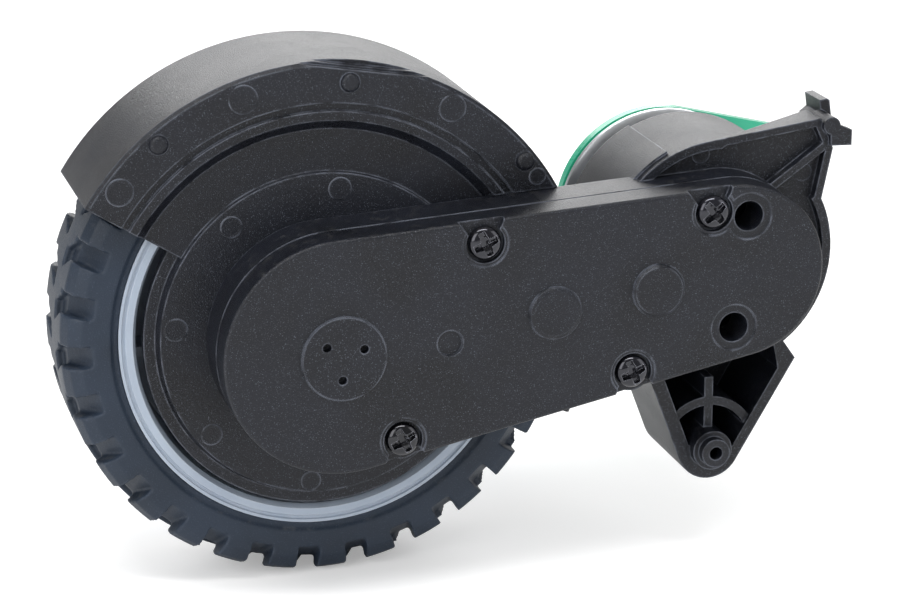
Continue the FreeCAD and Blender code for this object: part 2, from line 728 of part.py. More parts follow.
def add_lug(body):
    """The pivot lug: a V box open to the front, with its sleeve and ribs."""
    reach, rise = pivot_point()
    lug = new_sketch(body, "lug", "rim_height")
    draw_polygon(lug, [lug_flank("lug_left_angle", "lug_end_radius", "0"),
                       lug_flank("lug_left_angle", "lug_end_radius", "lug_left_length"),
                       (MOTOR_REACH, "-motor_end_radius*0.6"),
                       (f"{MOTOR_REACH}+barrel_radius*cos(-61)", "barrel_radius*sin(-61)"),
                       lug_flank("lug_right_angle", "lug_end_radius", "lug_right_length"),
                       lug_flank("lug_right_angle", "lug_end_radius", "0"),
                       (reach, rise)])
    pad(body, lug, "rim_height+lug_depth", down=True)
    disc(body, "lug_end", "lug_end_radius", "(-lug_depth)", "rim_height", reach, rise)
    box = new_sketch(body, "lug_box", "rim_height")
    inner, inner_left = "(lug_end_radius-lug_wall)", "(lug_end_radius-lug_left_wall)"
    draw_polygon(box, [lug_flank("lug_left_angle", inner_left, "1.6"),
                       lug_flank("lug_left_angle", inner_left, "(lug_left_length-4.4)"),
                       (f"{MOTOR_REACH}+barrel_radius*cos(-61)-lug_wall", "barrel_radius*sin(-61)+0.2"),
                       lug_flank("lug_right_angle", inner, "(lug_right_length-lug_wall*1.6)"),
                       lug_flank("lug_right_angle", inner, "1.6")])
    pocket(body, box, "rim_height+lug_depth-floor_wall")
    floor = "(floor_wall-lug_depth)"
    rib = new_sketch(body, "lug_rib", floor)
    draw_sector(rib, "lug_rib_radius-lug_rib_width/2", "lug_rib_radius+lug_rib_width/2", "15", "140", reach, rise)
    pad(body, rib, "rim_height+lug_depth-floor_wall-0.6")
    stay = new_sketch(body, "lug_stay", floor)
    draw_bar(stay, (reach, rise), "lug_rib_length", "(90-arm_angle)", "lug_rib_width")
    pad(body, stay, "rim_height+lug_depth-floor_wall-0.6")
    disc(body, "pivot_collar", "pivot_collar_radius", floor, "pivot_collar_tip", reach, rise)
    disc(body, "pivot_sleeve", "pivot_sleeve_radius", "0", "pivot_sleeve_tip", reach, rise)


def gear_housing():
    """Rear half of the gear case, in one piece with motor barrel, wing and pivot lug."""
    body = new_body("gear_housing")
    add_wing(body)
    add_barrel(body)
    add_hook(body)
    add_lug(body)
    case = new_sketch(body, "case")
    draw_stadium(case)
    pad(body, case, f"{SPLIT}-reveal_height")
    reveal = new_sketch(body, "reveal")
    draw_stadium(reveal, "reveal_depth")
    pad(body, reveal, SPLIT)
    disc(body, "rear_boss", f"({BUSH_RADIUS_REAR}+boss_wall)", "(-rear_boss_length)", "floor_wall")
    cavity = new_sketch(body, "cavity", SPLIT)
    draw_stadium(cavity, "case_wall")
    pocket(body, cavity, f"{SPLIT}-floor_wall")
    for number, (reach, rise) in enumerate(COVER_SCREWS, start=1):
        disc(body, f"column_{number}", "screw_column_radius", "0", SPLIT, reach, rise)
        bore(body, f"pilot_{number}", "(screw_shank_radius-fit_gap)", SPLIT,
             f"({SPLIT}-screw_bite)", reach, rise)
    for number, angle in enumerate(GUARD_SCREW_ANGLES, start=1):
        reach, rise = polar("guard_screw_circle", str(angle))
        disc(body, f"guard_column_{number}", "guard_column_radius", "0", "(guard_screw_bite+1)", reach, rise)
        bore(body, f"guard_pilot_{number}", "guard_screw_radius", "guard_screw_bite", "(-1)", reach, rise)
    bore(body, "rear_bush_seat", BUSH_RADIUS_REAR, "(floor_wall+1)", "(-rear_boss_length-1)")
    motor_bore = new_sketch(body, "motor_bore", "(-barrel_depth-1)")
    draw_circle(motor_bore, "can_radius+fit_gap", MOTOR_REACH)
    pocket(body, motor_bore, "barrel_depth+1", up=True)
    bore(body, "motor_boss_hole", "(motor_boss_radius+fit_gap)", "(floor_wall+1)", "(-1)", MOTOR_REACH)
    for number, turn in enumerate((0, 180), start=1):
        spot = polar("motor_screw_circle", f"(motor_screw_angle+{turn})", MOTOR_REACH)
        bore(body, f"motor_screw_hole_{number}", "(screw_shank_radius+fit_gap)", "(floor_wall+1)", "(-1)", *spot)
    for name, reach in (("first", FIRST_REACH), ("second", SECOND_REACH), ("third", THIRD_REACH)):
        bore(body, f"{name}_pin_hole", "gear_pin_radius", "(floor_wall+1)", "(-1)", reach)
    bore(body, "pivot_bore", "pivot_bore_radius", "(pivot_sleeve_tip+1)",
         "(pivot_sleeve_tip-pivot_bore_depth)", *pivot_point())


def wheel_guard():
    """Disc inside the wheel and arched guard over the tyre, moulded as one."""
    body = new_body("wheel_guard")
    front, back = "guard_face", "(guard_face-guard_wall)"
    low_front = "(guard_face-guard_step_depth)"
    low_back = f"({low_front}-guard_low_wall)"
    inner_radius = f"({BUSH_RADIUS_REAR}+boss_wall+fit_gap)"
    top_inside = "(guard_radius-guard_top_wall)"
    step_end = "(guard_step_radius-guard_step_run)"
    revolve(body, "disc", [
        (inner_radius, "0"), ("disc_radius", "0"), ("disc_radius+0.5", "(-disc_rim_step)"),
        ("disc_rim_radius", "(-disc_rim_step)"), ("disc_rim_radius", "(-disc_rim_step-disc_wall)"),
        ("disc_radius-0.5", "(-disc_rim_step-disc_wall)"), ("disc_radius-1", "(-disc_wall)"),
        (inner_radius, "(-disc_wall)")])
    arch = new_sketch(body, "arch", role="XZ_Plane", turn="guard_start_angle")
    groove_in = "(guard_groove_radius-guard_groove_width)"
    groove_floor = "(guard_face-guard_groove_depth)"
    points = [
        ("disc_radius-0.2", low_front), (step_end, low_front), ("guard_step_radius", front),
        (groove_in, front), (groove_in, groove_floor), ("guard_groove_radius", groove_floor),
        ("guard_groove_radius", front), ("(guard_radius-guard_edge_round)", front),
        ("guard_radius", "(guard_face-guard_edge_round)"), ("guard_radius", "(-guard_depth)"),
        (top_inside, "(-guard_depth)"), (top_inside, back), ("guard_step_radius+0.6", back),
        ("guard_step_radius-0.4", low_back), ("disc_radius-0.2", low_back)]
    draw_polygon(arch, points)
    sweep = body.newObject("PartDesign::Revolution", "wheel_guard_arch_turn")
    sweep.Profile = arch
    sweep.ReferenceAxis = (arch, ["V_Axis"])
    sweep.Angle = value("guard_end_angle-guard_start_angle")
    sweep.setExpression("Angle", bound("guard_end_angle-guard_start_angle"))
    arch.Visibility = False
    doc.recompute()
    for number, (radius, angle) in enumerate(GUARD_DOMES, start=1):
        reach, rise = polar(radius, angle)
        disc(body, f"dome_{number}", "guard_dome_radius", back, "(guard_face+guard_dome_radius*0.6)", reach, rise)
        soften_edges(body, body.Tip, "Fillet", "guard_dome_radius*0.55", "guard_face+guard_dome_radius*0.6")
    for name, drop, width in (("flat", "guard_flat_drop", "guard_flat_width*0.5"),
                              ("flat_step", "guard_flat_drop*0.6", "guard_flat_width")):
        chord = new_sketch(body, name, "guard_face+1")
        near, far = f"(guard_radius-{drop})", "(guard_radius+2)"
        left, right = "(guard_flat_angle+90)", "(guard_flat_angle-90)"
        inner, outer = polar(near, "guard_flat_angle"), polar(far, "guard_flat_angle")
        draw_polygon(chord, [polar("10", left, *inner), polar("10", left, *outer),
                             polar("10", right, *outer), polar("10", right, *inner)])
        pocket(body, chord, f"{width}+1")
    seat = new_sketch(body, "case_seat", "guard_face+1")
    draw_stadium(seat, "(-fit_gap)")
    pocket(body, seat, "guard_face+1")
    for number, angle in enumerate(GUARD_SCREW_ANGLES, start=1):
        bore(body, f"screw_hole_{number}", "(guard_screw_radius+fit_gap)", "1", "(-disc_wall-1)",
             *polar("guard_screw_circle", str(angle)))


def bushes():
    """Sintered bushes of the output shaft, in the cover and in the housing."""
    for name, inside, outside, top, length in (
            ("front_bush", "journal_radius", BUSH_RADIUS_FRONT, CEILING, "front_bush_length"),
            ("rear_bush", "shaft_radius", BUSH_RADIUS_REAR, "(-rear_boss_length+rear_bush_length)",
             "rear_bush_length")):
        body = new_body(name)
        ring = new_sketch(body, "ring", f"({top}-{length})")
        draw_circle(ring, outside)
        draw_circle(ring, f"({inside}+running_fit)")
        pad(body, ring, length)


def output_shaft():
    body = new_body("output_shaft")
    journal_end = f"({CEILING}-0.2)"
    shaft_end = f"({WEB_BACK}+0.1)"
    revolve(body, "turning", [
        ("0", journal_end), ("journal_radius-0.3", journal_end), ("journal_radius", f"{journal_end}-0.3"),
        ("journal_radius", f"({LAYER_ONE}+gear_face)"), ("shaft_radius", f"({LAYER_ONE}+gear_face)"),
        ("shaft_radius", shaft_end), ("wheel_screw_radius", shaft_end),
        ("wheel_screw_radius", f"({shaft_end}+wheel_screw_bite)"), ("0", f"({shaft_end}+wheel_screw_bite)")])
    flat = new_sketch(body, "flat", f"({shaft_end}-1)")
    draw_polygon(flat, [("shaft_radius-shaft_flat", "(-shaft_radius)"), ("shaft_radius+1", "(-shaft_radius)"),
                        ("shaft_radius+1", "shaft_radius"), ("shaft_radius-shaft_flat", "shaft_radius")])
    pocket(body, flat, f"{HUB_FRONT}-{shaft_end}+1", up=True)


def output_gear():
    body = new_body("output_gear")
    toothed(body, "wheel", "output_wheel_teeth", "coarse_module", LAYER_ONE, f"({LAYER_ONE}+gear_face)", "gap")
    disc(body, "hub", "gear_hub_radius", f"({LAYER_ONE}+gear_face)", f"({LAYER_TWO}+gear_face-0.2)")
    bore(body, "shaft_bore", "shaft_radius", f"({LAYER_ONE}+gear_face)", "0")
    bore(body, "journal_bore", "journal_radius", f"({LAYER_THREE})", "0")


def compound_gear(name, reach, wheel, wheel_module, wheel_layer, pinion, pinion_module, pinion_layer, neck):
    """Wheel and pinion moulded in one, running on a pin from floor to cover."""
    body = new_body(name, reach)
    disc(body, "neck", neck, LAYER_ONE, HUB_TOP)
    toothed(body, "wheel", wheel, wheel_module, wheel_layer, f"({wheel_layer}+gear_face)", "gap")
    toothed(body, "pinion", pinion, pinion_module, pinion_layer, f"({pinion_layer}+gear_face)", "tooth_back")
    bore(body, "pin_bore", "(gear_pin_radius+running_fit)", f"({HUB_TOP}+1)", "0")


def gear_pins():
    length = f"{CEILING}+gear_pin_seat-0.1"
    pin = turned([("0", "0"), ("gear_pin_radius", "0"), ("gear_pin_radius", length), ("0", length)])
    new_group("gear_pins", [moved(pin, reach, "0") for reach in (THIRD_REACH, SECOND_REACH, FIRST_REACH)])


def screws():
    cover = pan_screw(SCREW_SEAT, "screw_head_radius", "screw_head_height", "(screw_shank_radius-fit_gap)",
                      f"({SPLIT}-screw_bite+0.3)")
    new_group("cover_screws", [moved(cover, reach, rise) for reach, rise in COVER_SCREWS])
    motor = pan_screw("floor_wall", "motor_screw_head_radius", "motor_screw_head_height",
                      "screw_shank_radius-fit_gap", "(-can_wall)")
    spots = [polar("motor_screw_circle", f"(motor_screw_angle+{turn})") for turn in (0, 180)]
    new_group("motor_screws", [moved(motor, reach, rise) for reach, rise in spots], MOTOR_REACH)
    guard = pan_screw("(-disc_wall)", "guard_screw_head_radius", "guard_screw_head_height",
                      "guard_screw_radius", "(guard_screw_bite-0.2)", out=-1)
    spots = [polar("guard_screw_circle", str(angle)) for angle in GUARD_SCREW_ANGLES]
    new_group("guard_screws", [moved(guard, reach, rise) for reach, rise in spots])


def wheel_rim():
    """Grey wheel centre: hub, web with ribs and the rim that carries the tyre."""
    body = new_body("wheel_rim")
    web_front = f"({WEB_BACK}+web_wall)"
    seat = "(ring_outer_radius-ring_lip)"
    front = "(-wheel_front)"
    revolve(body, "section", [
        ("0", HUB_FRONT), ("hub_radius", HUB_FRONT), ("hub_radius+0.4", web_front),
        ("ring_inner_radius-0.4", web_front), ("ring_inner_radius", f"({front}-0.9)"),
        ("ring_inner_radius+0.5", front), (f"{seat}-0.3", front), (f"{seat}-0.1", f"({front}-0.3)"),
        (f"{seat}+0.2", f"({front}-0.3)"), (f"{seat}+0.3", f"({front}+0.1)"),
        ("ring_outer_radius", f"({front}+0.1)"), ("ring_outer_radius", f"({front}-ring_flange)"),
        (seat, f"({front}-ring_flange)"), (seat, f"({WHEEL_BACK}+ring_flange)"),
        ("ring_outer_radius", f"({WHEEL_BACK}+ring_flange)"), ("ring_outer_radius", WHEEL_BACK),
        ("ring_inner_radius", WHEEL_BACK), ("ring_inner_radius-1.2", WEB_BACK), ("0", WEB_BACK)])
    rib = new_sketch(body, "rib", web_front)
    draw_polygon(rib, [("hub_radius-1", "(-web_rib_width/2)"), ("ring_inner_radius-0.1", "(-web_rib_width/2)"),
                       ("ring_inner_radius-0.1", "web_rib_width/2"), ("hub_radius-1", "web_rib_width/2")])
    around(body, [pad(body, rib, "web_rib_height")], "6")
    hole = new_sketch(body, "shaft_hole", f"({HUB_FRONT}+1)")
    draw_circle(hole, "shaft_radius")
    pocket(body, hole)


def tyre():
    """Rubber tyre: a ring with two rows of lugs, parted by wedge pockets that run on as kinked grooves."""
    body = new_body("tyre", turn="lug_phase")
    front, back = "(-tyre_front)", "(-tyre_front-tyre_width)"
    seat = "(ring_outer_radius-ring_lip)"
    lip_front, lip_back = "(-wheel_front-ring_flange)", f"({WHEEL_BACK}+ring_flange)"
    bead = "(ring_outer_radius+tyre_bead_width)"
    revolve(body, "section", [
        (seat, lip_front), ("ring_outer_radius", lip_front), ("ring_outer_radius", "(-wheel_front)"),
        (bead, "(-wheel_front)"), (f"{bead}+0.4", front), ("tyre_radius-tyre_shoulder", front),
        ("tyre_radius-tyre_shoulder*0.35", "(-tyre_front-tyre_shoulder*0.3)"),
        ("tyre_radius", "(-tyre_front-tyre_shoulder)"), ("tyre_radius", f"({back}+tyre_shoulder)"),
        ("tyre_radius-tyre_shoulder*0.35", f"({back}+tyre_shoulder*0.3)"),
        ("tyre_radius-tyre_shoulder", back), (f"{bead}+0.4", back), (bead, WHEEL_BACK),
        ("ring_outer_radius", WHEEL_BACK), ("ring_outer_radius", lip_back), (seat, lip_back)])
    for name, edge, inward, turn in (("front", front, -1, "0"), ("back", back, 1, "(180/lug_count)")):
        wedge = new_sketch(body, f"{name}_wedge", "(-groove_width/2)", "XZ_Plane", turn)
        outside, end = f"({edge}-{inward})", f"({edge}+{inward}*pocket_run)"
        draw_polygon(wedge, [("pocket_inner_radius", outside), ("pocket_inner_radius", edge),
                             ("pocket_end_radius", end), ("(tyre_radius+1)", end), ("(tyre_radius+1)", outside)])
        groove = new_sketch(body, f"{name}_groove", "pocket_end_radius", "YZ_Plane", turn)
        draw_groove(groove, edge, inward)
        around(body, [pocket(body, wedge, "groove_width", up=True), pocket(body, groove, up=True)], "lug_count")


def draw_groove(sketch, edge, inward):
    """Plan of one groove, from the tyre's side to its blunt inner end."""
    half = "groove_width*0.5"
    points = [(half, "-2"), (half, "groove_straight"), (f"groove_sweep+{half}*0.85", "groove_length"),
              (f"groove_sweep-{half}*0.85", "groove_length"), (f"(-{half})", "groove_straight*0.8"),
              (f"(-{half})", "-2")]
    draw_polygon(sketch, [(across, f"{edge}+{inward}*({depth})") for across, depth in points])


def wheel_fixing():
    """Screw and washers that hold the wheel on its shaft."""
    under = WEB_BACK
    seat = f"({under}-wheel_washer)"
    screw = pan_screw(seat, "wheel_screw_head_radius", "wheel_screw_head_height", "wheel_screw_radius",
                      f"({under}+wheel_screw_bite-0.5)", out=-1)
    new_group("wheel_screw", [screw])
    for name, inside, outside, top, thickness in (
            ("wheel_washer", "wheel_screw_radius+running_fit", "wheel_washer_radius", under, "wheel_washer"),
            ("thrust_washer", "shaft_radius+running_fit", "(shaft_radius+bush_wall+0.8)",
             f"({HUB_FRONT}+thrust_washer)", "thrust_washer")):
        body = new_body(name)
        ring = new_sketch(body, "ring", f"({top}-{thickness})")
        draw_circle(ring, outside)
        draw_circle(ring, inside)
        pad(body, ring, thickness)


def motor():
    """Brushed motor: steel can, magnets, armature, commutator and end cap."""
    can = new_body("motor_can", MOTOR_REACH)
    inside = "(can_radius-can_wall)"
    shaft_hole = "(motor_shaft_radius+running_fit+motor_bush_wall)"
    revolve(can, "section", [
        (shaft_hole, "motor_boss_height"), ("motor_boss_radius", "motor_boss_height"),
        ("motor_boss_radius", "0"), ("can_radius-0.5", "0"), ("can_radius", "-0.5"),
        ("can_radius", "(-can_length+can_bead_width)"),
        ("can_radius+can_bead", "(-can_length+can_bead_width-0.3)"), ("can_radius+can_bead", CAN_BACK),
        (inside, CAN_BACK), (inside, "(-can_wall)"), (shaft_hole, "(-can_wall)")])
    for number, turn in enumerate((0, 180), start=1):
        bore(can, f"screw_hole_{number}", "(screw_shank_radius-fit_gap)", "1", "(-can_wall-1)",
             *polar("motor_screw_circle", f"(motor_screw_angle+{turn})"))
    bush = new_body("motor_bush", MOTOR_REACH)
    ring = new_sketch(bush, "ring", "(-can_wall)")
    draw_circle(ring, shaft_hole)
    draw_circle(ring, "(motor_shaft_radius+running_fit)")
    pad(bush, ring, "motor_boss_height+can_wall")
    magnets = new_body("motor_magnets", MOTOR_REACH, parts=2)
    arc = new_sketch(magnets, "arc", "(-can_wall-2-magnet_length)")
    for start in (-55, 125):
        draw_sector(arc, f"({inside}-magnet_wall)", f"({inside}-running_fit)", str(start), str(start + 110))
    pad(magnets, arc, "magnet_length")
    shaft = new_body("motor_shaft", MOTOR_REACH)
    disc(shaft, "bar", "motor_shaft_radius", f"({BOARD_BACK}-encoder_length-1.2)", f"({LAYER_ONE}+gear_face+0.3)")
    armature = new_body("armature", MOTOR_REACH)
    core_top = "(-can_wall-3.5)"
    disc(armature, "core", "armature_radius", f"({core_top}-armature_length)", core_top)
    slot = new_sketch(armature, "slot", core_top)
    draw_polygon(slot, [("armature_radius*0.5", "-0.9"), ("armature_radius+1", "-0.9"),
                        ("armature_radius+1", "0.9"), ("armature_radius*0.5", "0.9")])
    around(armature, [pocket(armature, slot, "armature_length")], "armature_poles")
    disc(armature, "commutator", "commutator_radius", "(end_cap_boss+end_play-can_length)",
         f"({core_top}-armature_length)")
    bore(armature, "shaft_bore", "motor_shaft_radius", "0", CAN_BACK)
    pinion = new_body("motor_pinion", MOTOR_REACH)
    toothed(pinion, "pinion", "motor_pinion_teeth", "fine_module", LAYER_ONE,
            f"({LAYER_ONE}+gear_face+0.2)", "tooth_back")
    bore(pinion, "shaft_bore", "motor_shaft_radius", f"({LAYER_TWO}+1)", "0")
    cap = new_body("motor_end_cap", MOTOR_REACH)
    revolve(cap, "section", [
        ("motor_shaft_radius+running_fit", "(-can_length+end_cap_boss)"), ("3", "(-can_length+end_cap_boss)"),
        ("3.4", "(-can_length+1.2)"), (inside, "(-can_length+1.2)"), (inside, CAN_BACK),
        ("can_radius-0.2", CAN_BACK), ("can_radius-1", CAP_BACK), ("motor_shaft_radius+running_fit", CAP_BACK)])
    for number, side in enumerate((-1, 1), start=1):
        slot = new_sketch(cap, f"terminal_slot_{number}", "(-can_length+2)")
        draw_terminal(slot, side)
        pocket(cap, slot, "end_cap_wall+3")


def motor_brushes():
    """The two carbon brushes, between the end cap and the commutator."""
    brushes = new_body("motor_brushes", MOTOR_REACH, parts=2)
    pair = new_sketch(brushes, "pair", "(-can_length+1.2)")
    inner, outer = "(commutator_radius+running_fit)", "(commutator_radius+brush_thickness)"
    for left, right in ((inner, outer), (f"(-{outer})", f"(-{inner})")):
        draw_rectangle(pair, left, right, "(-brush_width/2)", "brush_width/2")
    pad(brushes, pair, "brush_length")


def draw_terminal(sketch, side, slack="0"):
    half_width, half_thick = f"(terminal_width/2+{slack})", f"(terminal_thickness/2+{slack})"
    draw_polygon(sketch, [(f"(-{half_width})", f"{side}*terminal_circle-{half_thick}"),
                          (half_width, f"{side}*terminal_circle-{half_thick}"),
                          (half_width, f"{side}*terminal_circle+{half_thick}"),
                          (f"(-{half_width})", f"{side}*terminal_circle+{half_thick}")])


def encoder():
    """Round board on the motor's terminals, with its socket, sensors and magnet wheel."""
    terminals = new_body("motor_terminals", MOTOR_REACH, parts=2)
    blades = new_sketch(terminals, "blades", "(-can_length+1.2)")
    for side in (-1, 1):
        draw_terminal(blades, side)
    pad(terminals, blades, f"1.2-can_length-({BOARD_BACK})+1", down=True)
    board = new_body("encoder_board", MOTOR_REACH)
    disc(board, "round", "board_radius", BOARD_BACK, BOARD_FRONT)
    tail = new_sketch(board, "tail", BOARD_BACK)
    tail_reach = f"(board_tail_reach-{MOTOR_REACH})"
    tail_rise = f"((board_radius-{tail_reach}*cos(board_tangent))/sin(board_tangent))"
    draw_polygon(tail, [("0", "0"), polar("board_radius", "board_tangent"), (tail_reach, tail_rise),
                        (tail_reach, "board_tail_low"), ("board_radius*cos(30)", "(-board_radius*sin(30))")])
    pad(board, tail, "board_thickness")
    bore(board, "shaft_hole", "(motor_shaft_radius+0.9)", "0", f"({BOARD_BACK}-1)")
    for number, side in enumerate((-1, 1), start=1):
        slot = new_sketch(board, f"terminal_slot_{number}", "0")
        draw_terminal(slot, side)
        pocket(board, slot)
    magnet = new_body("encoder_magnet", MOTOR_REACH)
    ring = new_sketch(magnet, "ring", f"({BOARD_BACK}-encoder_length-0.9)")
    draw_circle(ring, "encoder_radius")
    draw_circle(ring, "motor_shaft_radius")
    pad(magnet, ring, "encoder_length")
    socket = new_body("board_socket", MOTOR_REACH)
    shell = new_sketch(socket, "shell", BOARD_BACK)
    right = f"({tail_reach}-0.6)"
    draw_rectangle(shell, f"({right}-socket_width)", right, "(board_tail_low+0.6)",
                   "(board_tail_low+0.6+socket_length)")
    pad(socket, shell, "socket_height", down=True)
    well = new_sketch(socket, "well", f"({BOARD_BACK}-socket_height)")
    draw_rectangle(well, f"({right}-socket_width+socket_wall)", f"({right}-socket_wall)",
                   "(board_tail_low+0.6+socket_wall)", "(board_tail_low+0.6+socket_length-socket_wall)")
    pocket(socket, well, "socket_height-socket_wall", up=True)
    sensors = [Part.makeBox(3, 4, 1.2, FreeCAD.Vector(value("encoder_radius+0.8"), corner, value(BOARD_BACK) - 1.2))
               for corner in (-5, 1)]
    new_group("hall_sensors", sensors, MOTOR_REACH)
    pitch = value("(socket_length-2*socket_wall)/socket_pins")
    foot = FreeCAD.Vector(value(f"{right}-socket_width/2-0.3"), value("board_tail_low+0.6+socket_wall"),
                          value(f"{BOARD_BACK}-socket_height+0.8"))
    pins = [Part.makeBox(0.6, 0.6, value("socket_height-socket_wall-0.8"),
                         foot + FreeCAD.Vector(0, (number + 0.5) * pitch - 0.3, 0))
            for number in range(int(value("socket_pins")))]
    new_group("socket_pins", pins, MOTOR_REACH)


def draw_rectangle(sketch, left, right, low, high):
    draw_polygon(sketch, [(left, low), (right, low), (right, high), (left, high)])


gear_cover()
gear_housing()
wheel_guard()
bushes()
output_shaft()
output_gear()
compound_gear("gear_three", THIRD_REACH, "third_wheel_teeth", "coarse_module", LAYER_THREE,
              "third_pinion_teeth", "coarse_module", LAYER_ONE, "3.2")
compound_gear("gear_two", SECOND_REACH, "second_wheel_teeth", "coarse_module", LAYER_TWO,
              "second_pinion_teeth", "coarse_module", LAYER_THREE, "2.4")
compound_gear("gear_one", FIRST_REACH, "first_wheel_teeth", "fine_module", LAYER_ONE,
              "first_pinion_teeth", "coarse_module", LAYER_TWO, "2.2")
gear_pins()
screws()
wheel_rim()
tyre()
wheel_fixing()
motor()
motor_brushes()
encoder()

doc.recompute()
faulty = [item.Label for item in doc.Objects if {"Invalid", "Error"} & set(item.State)]
faulty += [piece.Label for piece in PIECES if piece.Shape.isNull() or not piece.Shape.isValid()]
if faulty:
    raise RuntimeError(f"these failed: {', '.join(faulty)}")

os.makedirs("parts", exist_ok=True)
for piece in PIECES:
    piece.Shape.exportStep(f"parts/{piece.Label}.step")
    box = piece.Shape.BoundBox
    print(f"{piece.Label}: {len(piece.Shape.Solids)} solid, {piece.Shape.Volume:.1f} mm3, "
          f"x {box.XMin:.1f} to {box.XMax:.1f}, y {box.YMin:.1f} to {box.YMax:.1f}, "
          f"z {box.ZMin:.1f} to {box.ZMax:.1f}")
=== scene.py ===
# %% [markdown]
# # Drive wheel module of a robot vacuum
#
# A small geared motor turns a rubber tyred wheel at the end of a swinging arm.
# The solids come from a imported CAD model. This lesson dresses them: it sets the
# camera and the light, gives every part the finish of its real material, and
# builds the small shapes that a CAD model leaves out. Everything is in metres,
# with Z up, in the same frame as the CAD model.

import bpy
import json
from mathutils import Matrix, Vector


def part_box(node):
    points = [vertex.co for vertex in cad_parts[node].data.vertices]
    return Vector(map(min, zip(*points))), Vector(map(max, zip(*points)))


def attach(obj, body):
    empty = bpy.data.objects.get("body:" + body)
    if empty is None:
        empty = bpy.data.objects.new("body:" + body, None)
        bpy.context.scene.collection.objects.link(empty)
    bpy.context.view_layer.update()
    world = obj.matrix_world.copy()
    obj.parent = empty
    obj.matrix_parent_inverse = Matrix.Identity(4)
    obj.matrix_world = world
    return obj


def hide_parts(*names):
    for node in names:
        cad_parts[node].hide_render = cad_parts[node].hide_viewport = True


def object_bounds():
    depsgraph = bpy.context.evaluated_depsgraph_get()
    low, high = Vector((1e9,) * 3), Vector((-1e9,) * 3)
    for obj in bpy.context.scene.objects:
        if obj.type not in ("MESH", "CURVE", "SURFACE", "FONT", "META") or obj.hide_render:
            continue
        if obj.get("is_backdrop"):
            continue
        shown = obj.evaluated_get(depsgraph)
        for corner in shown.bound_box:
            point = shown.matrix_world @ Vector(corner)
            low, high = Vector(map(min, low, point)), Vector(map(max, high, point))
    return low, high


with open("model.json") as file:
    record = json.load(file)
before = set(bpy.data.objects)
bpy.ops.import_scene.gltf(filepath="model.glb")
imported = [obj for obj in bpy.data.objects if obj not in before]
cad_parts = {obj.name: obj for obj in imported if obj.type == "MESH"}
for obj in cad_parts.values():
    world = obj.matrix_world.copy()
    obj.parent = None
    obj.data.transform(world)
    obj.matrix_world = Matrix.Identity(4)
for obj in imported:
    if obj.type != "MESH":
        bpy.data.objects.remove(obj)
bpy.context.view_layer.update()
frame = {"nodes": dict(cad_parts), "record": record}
MM = 0.001

# %% [markdown]
# ## Camera
#
# The photograph was taken from a little above and to the left, with a long
# lens. A camera in Blender looks along its own -Z, so it is first tipped up to
# the horizon and then turned by the two angles that were measured.

# %% Camera
import math

import bpy
from mathutils import Matrix, Vector

EYE = Vector((-149.243, -392.265, 147.572)) * MM
YAW = 0.2729
PITCH = -0.2899
LENS = 124
SENSOR = 36


def add_camera():
    lens = bpy.data.cameras.new("camera")
    lens.lens = LENS
    lens.sensor_width = SENSOR
    lens.clip_start = 0.01
    camera = bpy.data.objects.new("camera", lens)
    camera.location = EYE
    camera.rotation_euler = (math.pi / 2 + PITCH, 0, -YAW)
    bpy.context.scene.collection.objects.link(camera)
    bpy.context.scene.camera = camera
    return camera


print("camera", tuple(round(n, 3) for n in add_camera().location))

# %% [markdown]
# ## Helpers for shader nodes
#
# Every finish below is made of nodes. A few small helpers keep the code short:
# one adds a node and sets its inputs, and another starts a node group, which
# is an effect that several materials can share with their own values.

# %% Node helpers
def add_node(tree, kind, settings=None, **inputs):
    """Add a node. An input is a number, a colour or the output of another node."""
    node = tree.nodes.new(kind)
    for name, setting in (settings or {}).items():
        setattr(node, name, setting)
    for name, given in inputs.items():
        key = int(name[1:]) if name[1:].isdigit() else name.replace("_", " ")
        socket = node.inputs[key]
        if isinstance(given, bpy.types.NodeSocket):
            tree.links.new(given, socket)
        else:
            socket.default_value = given
    return node


def maths(tree, operation, first, second=0.0, third=0.0, clamp=False):
    """The result of one Math node."""
    settings = {"operation": operation, "use_clamp": clamp}
    return add_node(tree, "ShaderNodeMath", settings, i0=first, i1=second, i2=third).outputs[0]


def ramp(tree, factor, low, high):
    """A smooth step from 0 at low to 1 at high."""
    step = add_node(tree, "ShaderNodeMapRange", {"interpolation_type": "SMOOTHSTEP"},
                    Value=factor, From_Min=low, From_Max=high)
    return step.outputs[0]


def mix_colour(tree, factor, first, second):
    """The first colour where factor is 0 and the second where it is 1."""
    node = tree.nodes.new("ShaderNodeMix")
    node.data_type = "RGBA"
    for index, given in ((0, factor), (6, first), (7, second)):
        if isinstance(given, bpy.types.NodeSocket):
            tree.links.new(given, node.inputs[index])
        else:
            node.inputs[index].default_value = given
    return node.outputs[2]


def start_group(name, inputs, outputs):
    """A node group with number inputs, given with their defaults, and number outputs."""
    group = bpy.data.node_groups.new(name, "ShaderNodeTree")
    for title, default in inputs.items():
        socket = group.interface.new_socket(title, in_out="INPUT", socket_type="NodeSocketFloat")
        socket.default_value = default
    for title in outputs:
        group.interface.new_socket(title, in_out="OUTPUT", socket_type="NodeSocketFloat")
    return group, group.nodes.new("NodeGroupInput"), group.nodes.new("NodeGroupOutput")


def shade(red, green, blue):
    """A colour written as the 0 to 255 values that a picture would show."""
    linear = [((c / 255 + 0.055) / 1.055) ** 2.4 if c > 10 else c / 255 / 12.92 for c in (red, green, blue)]
    return (*linear, 1)


print("helpers ready")

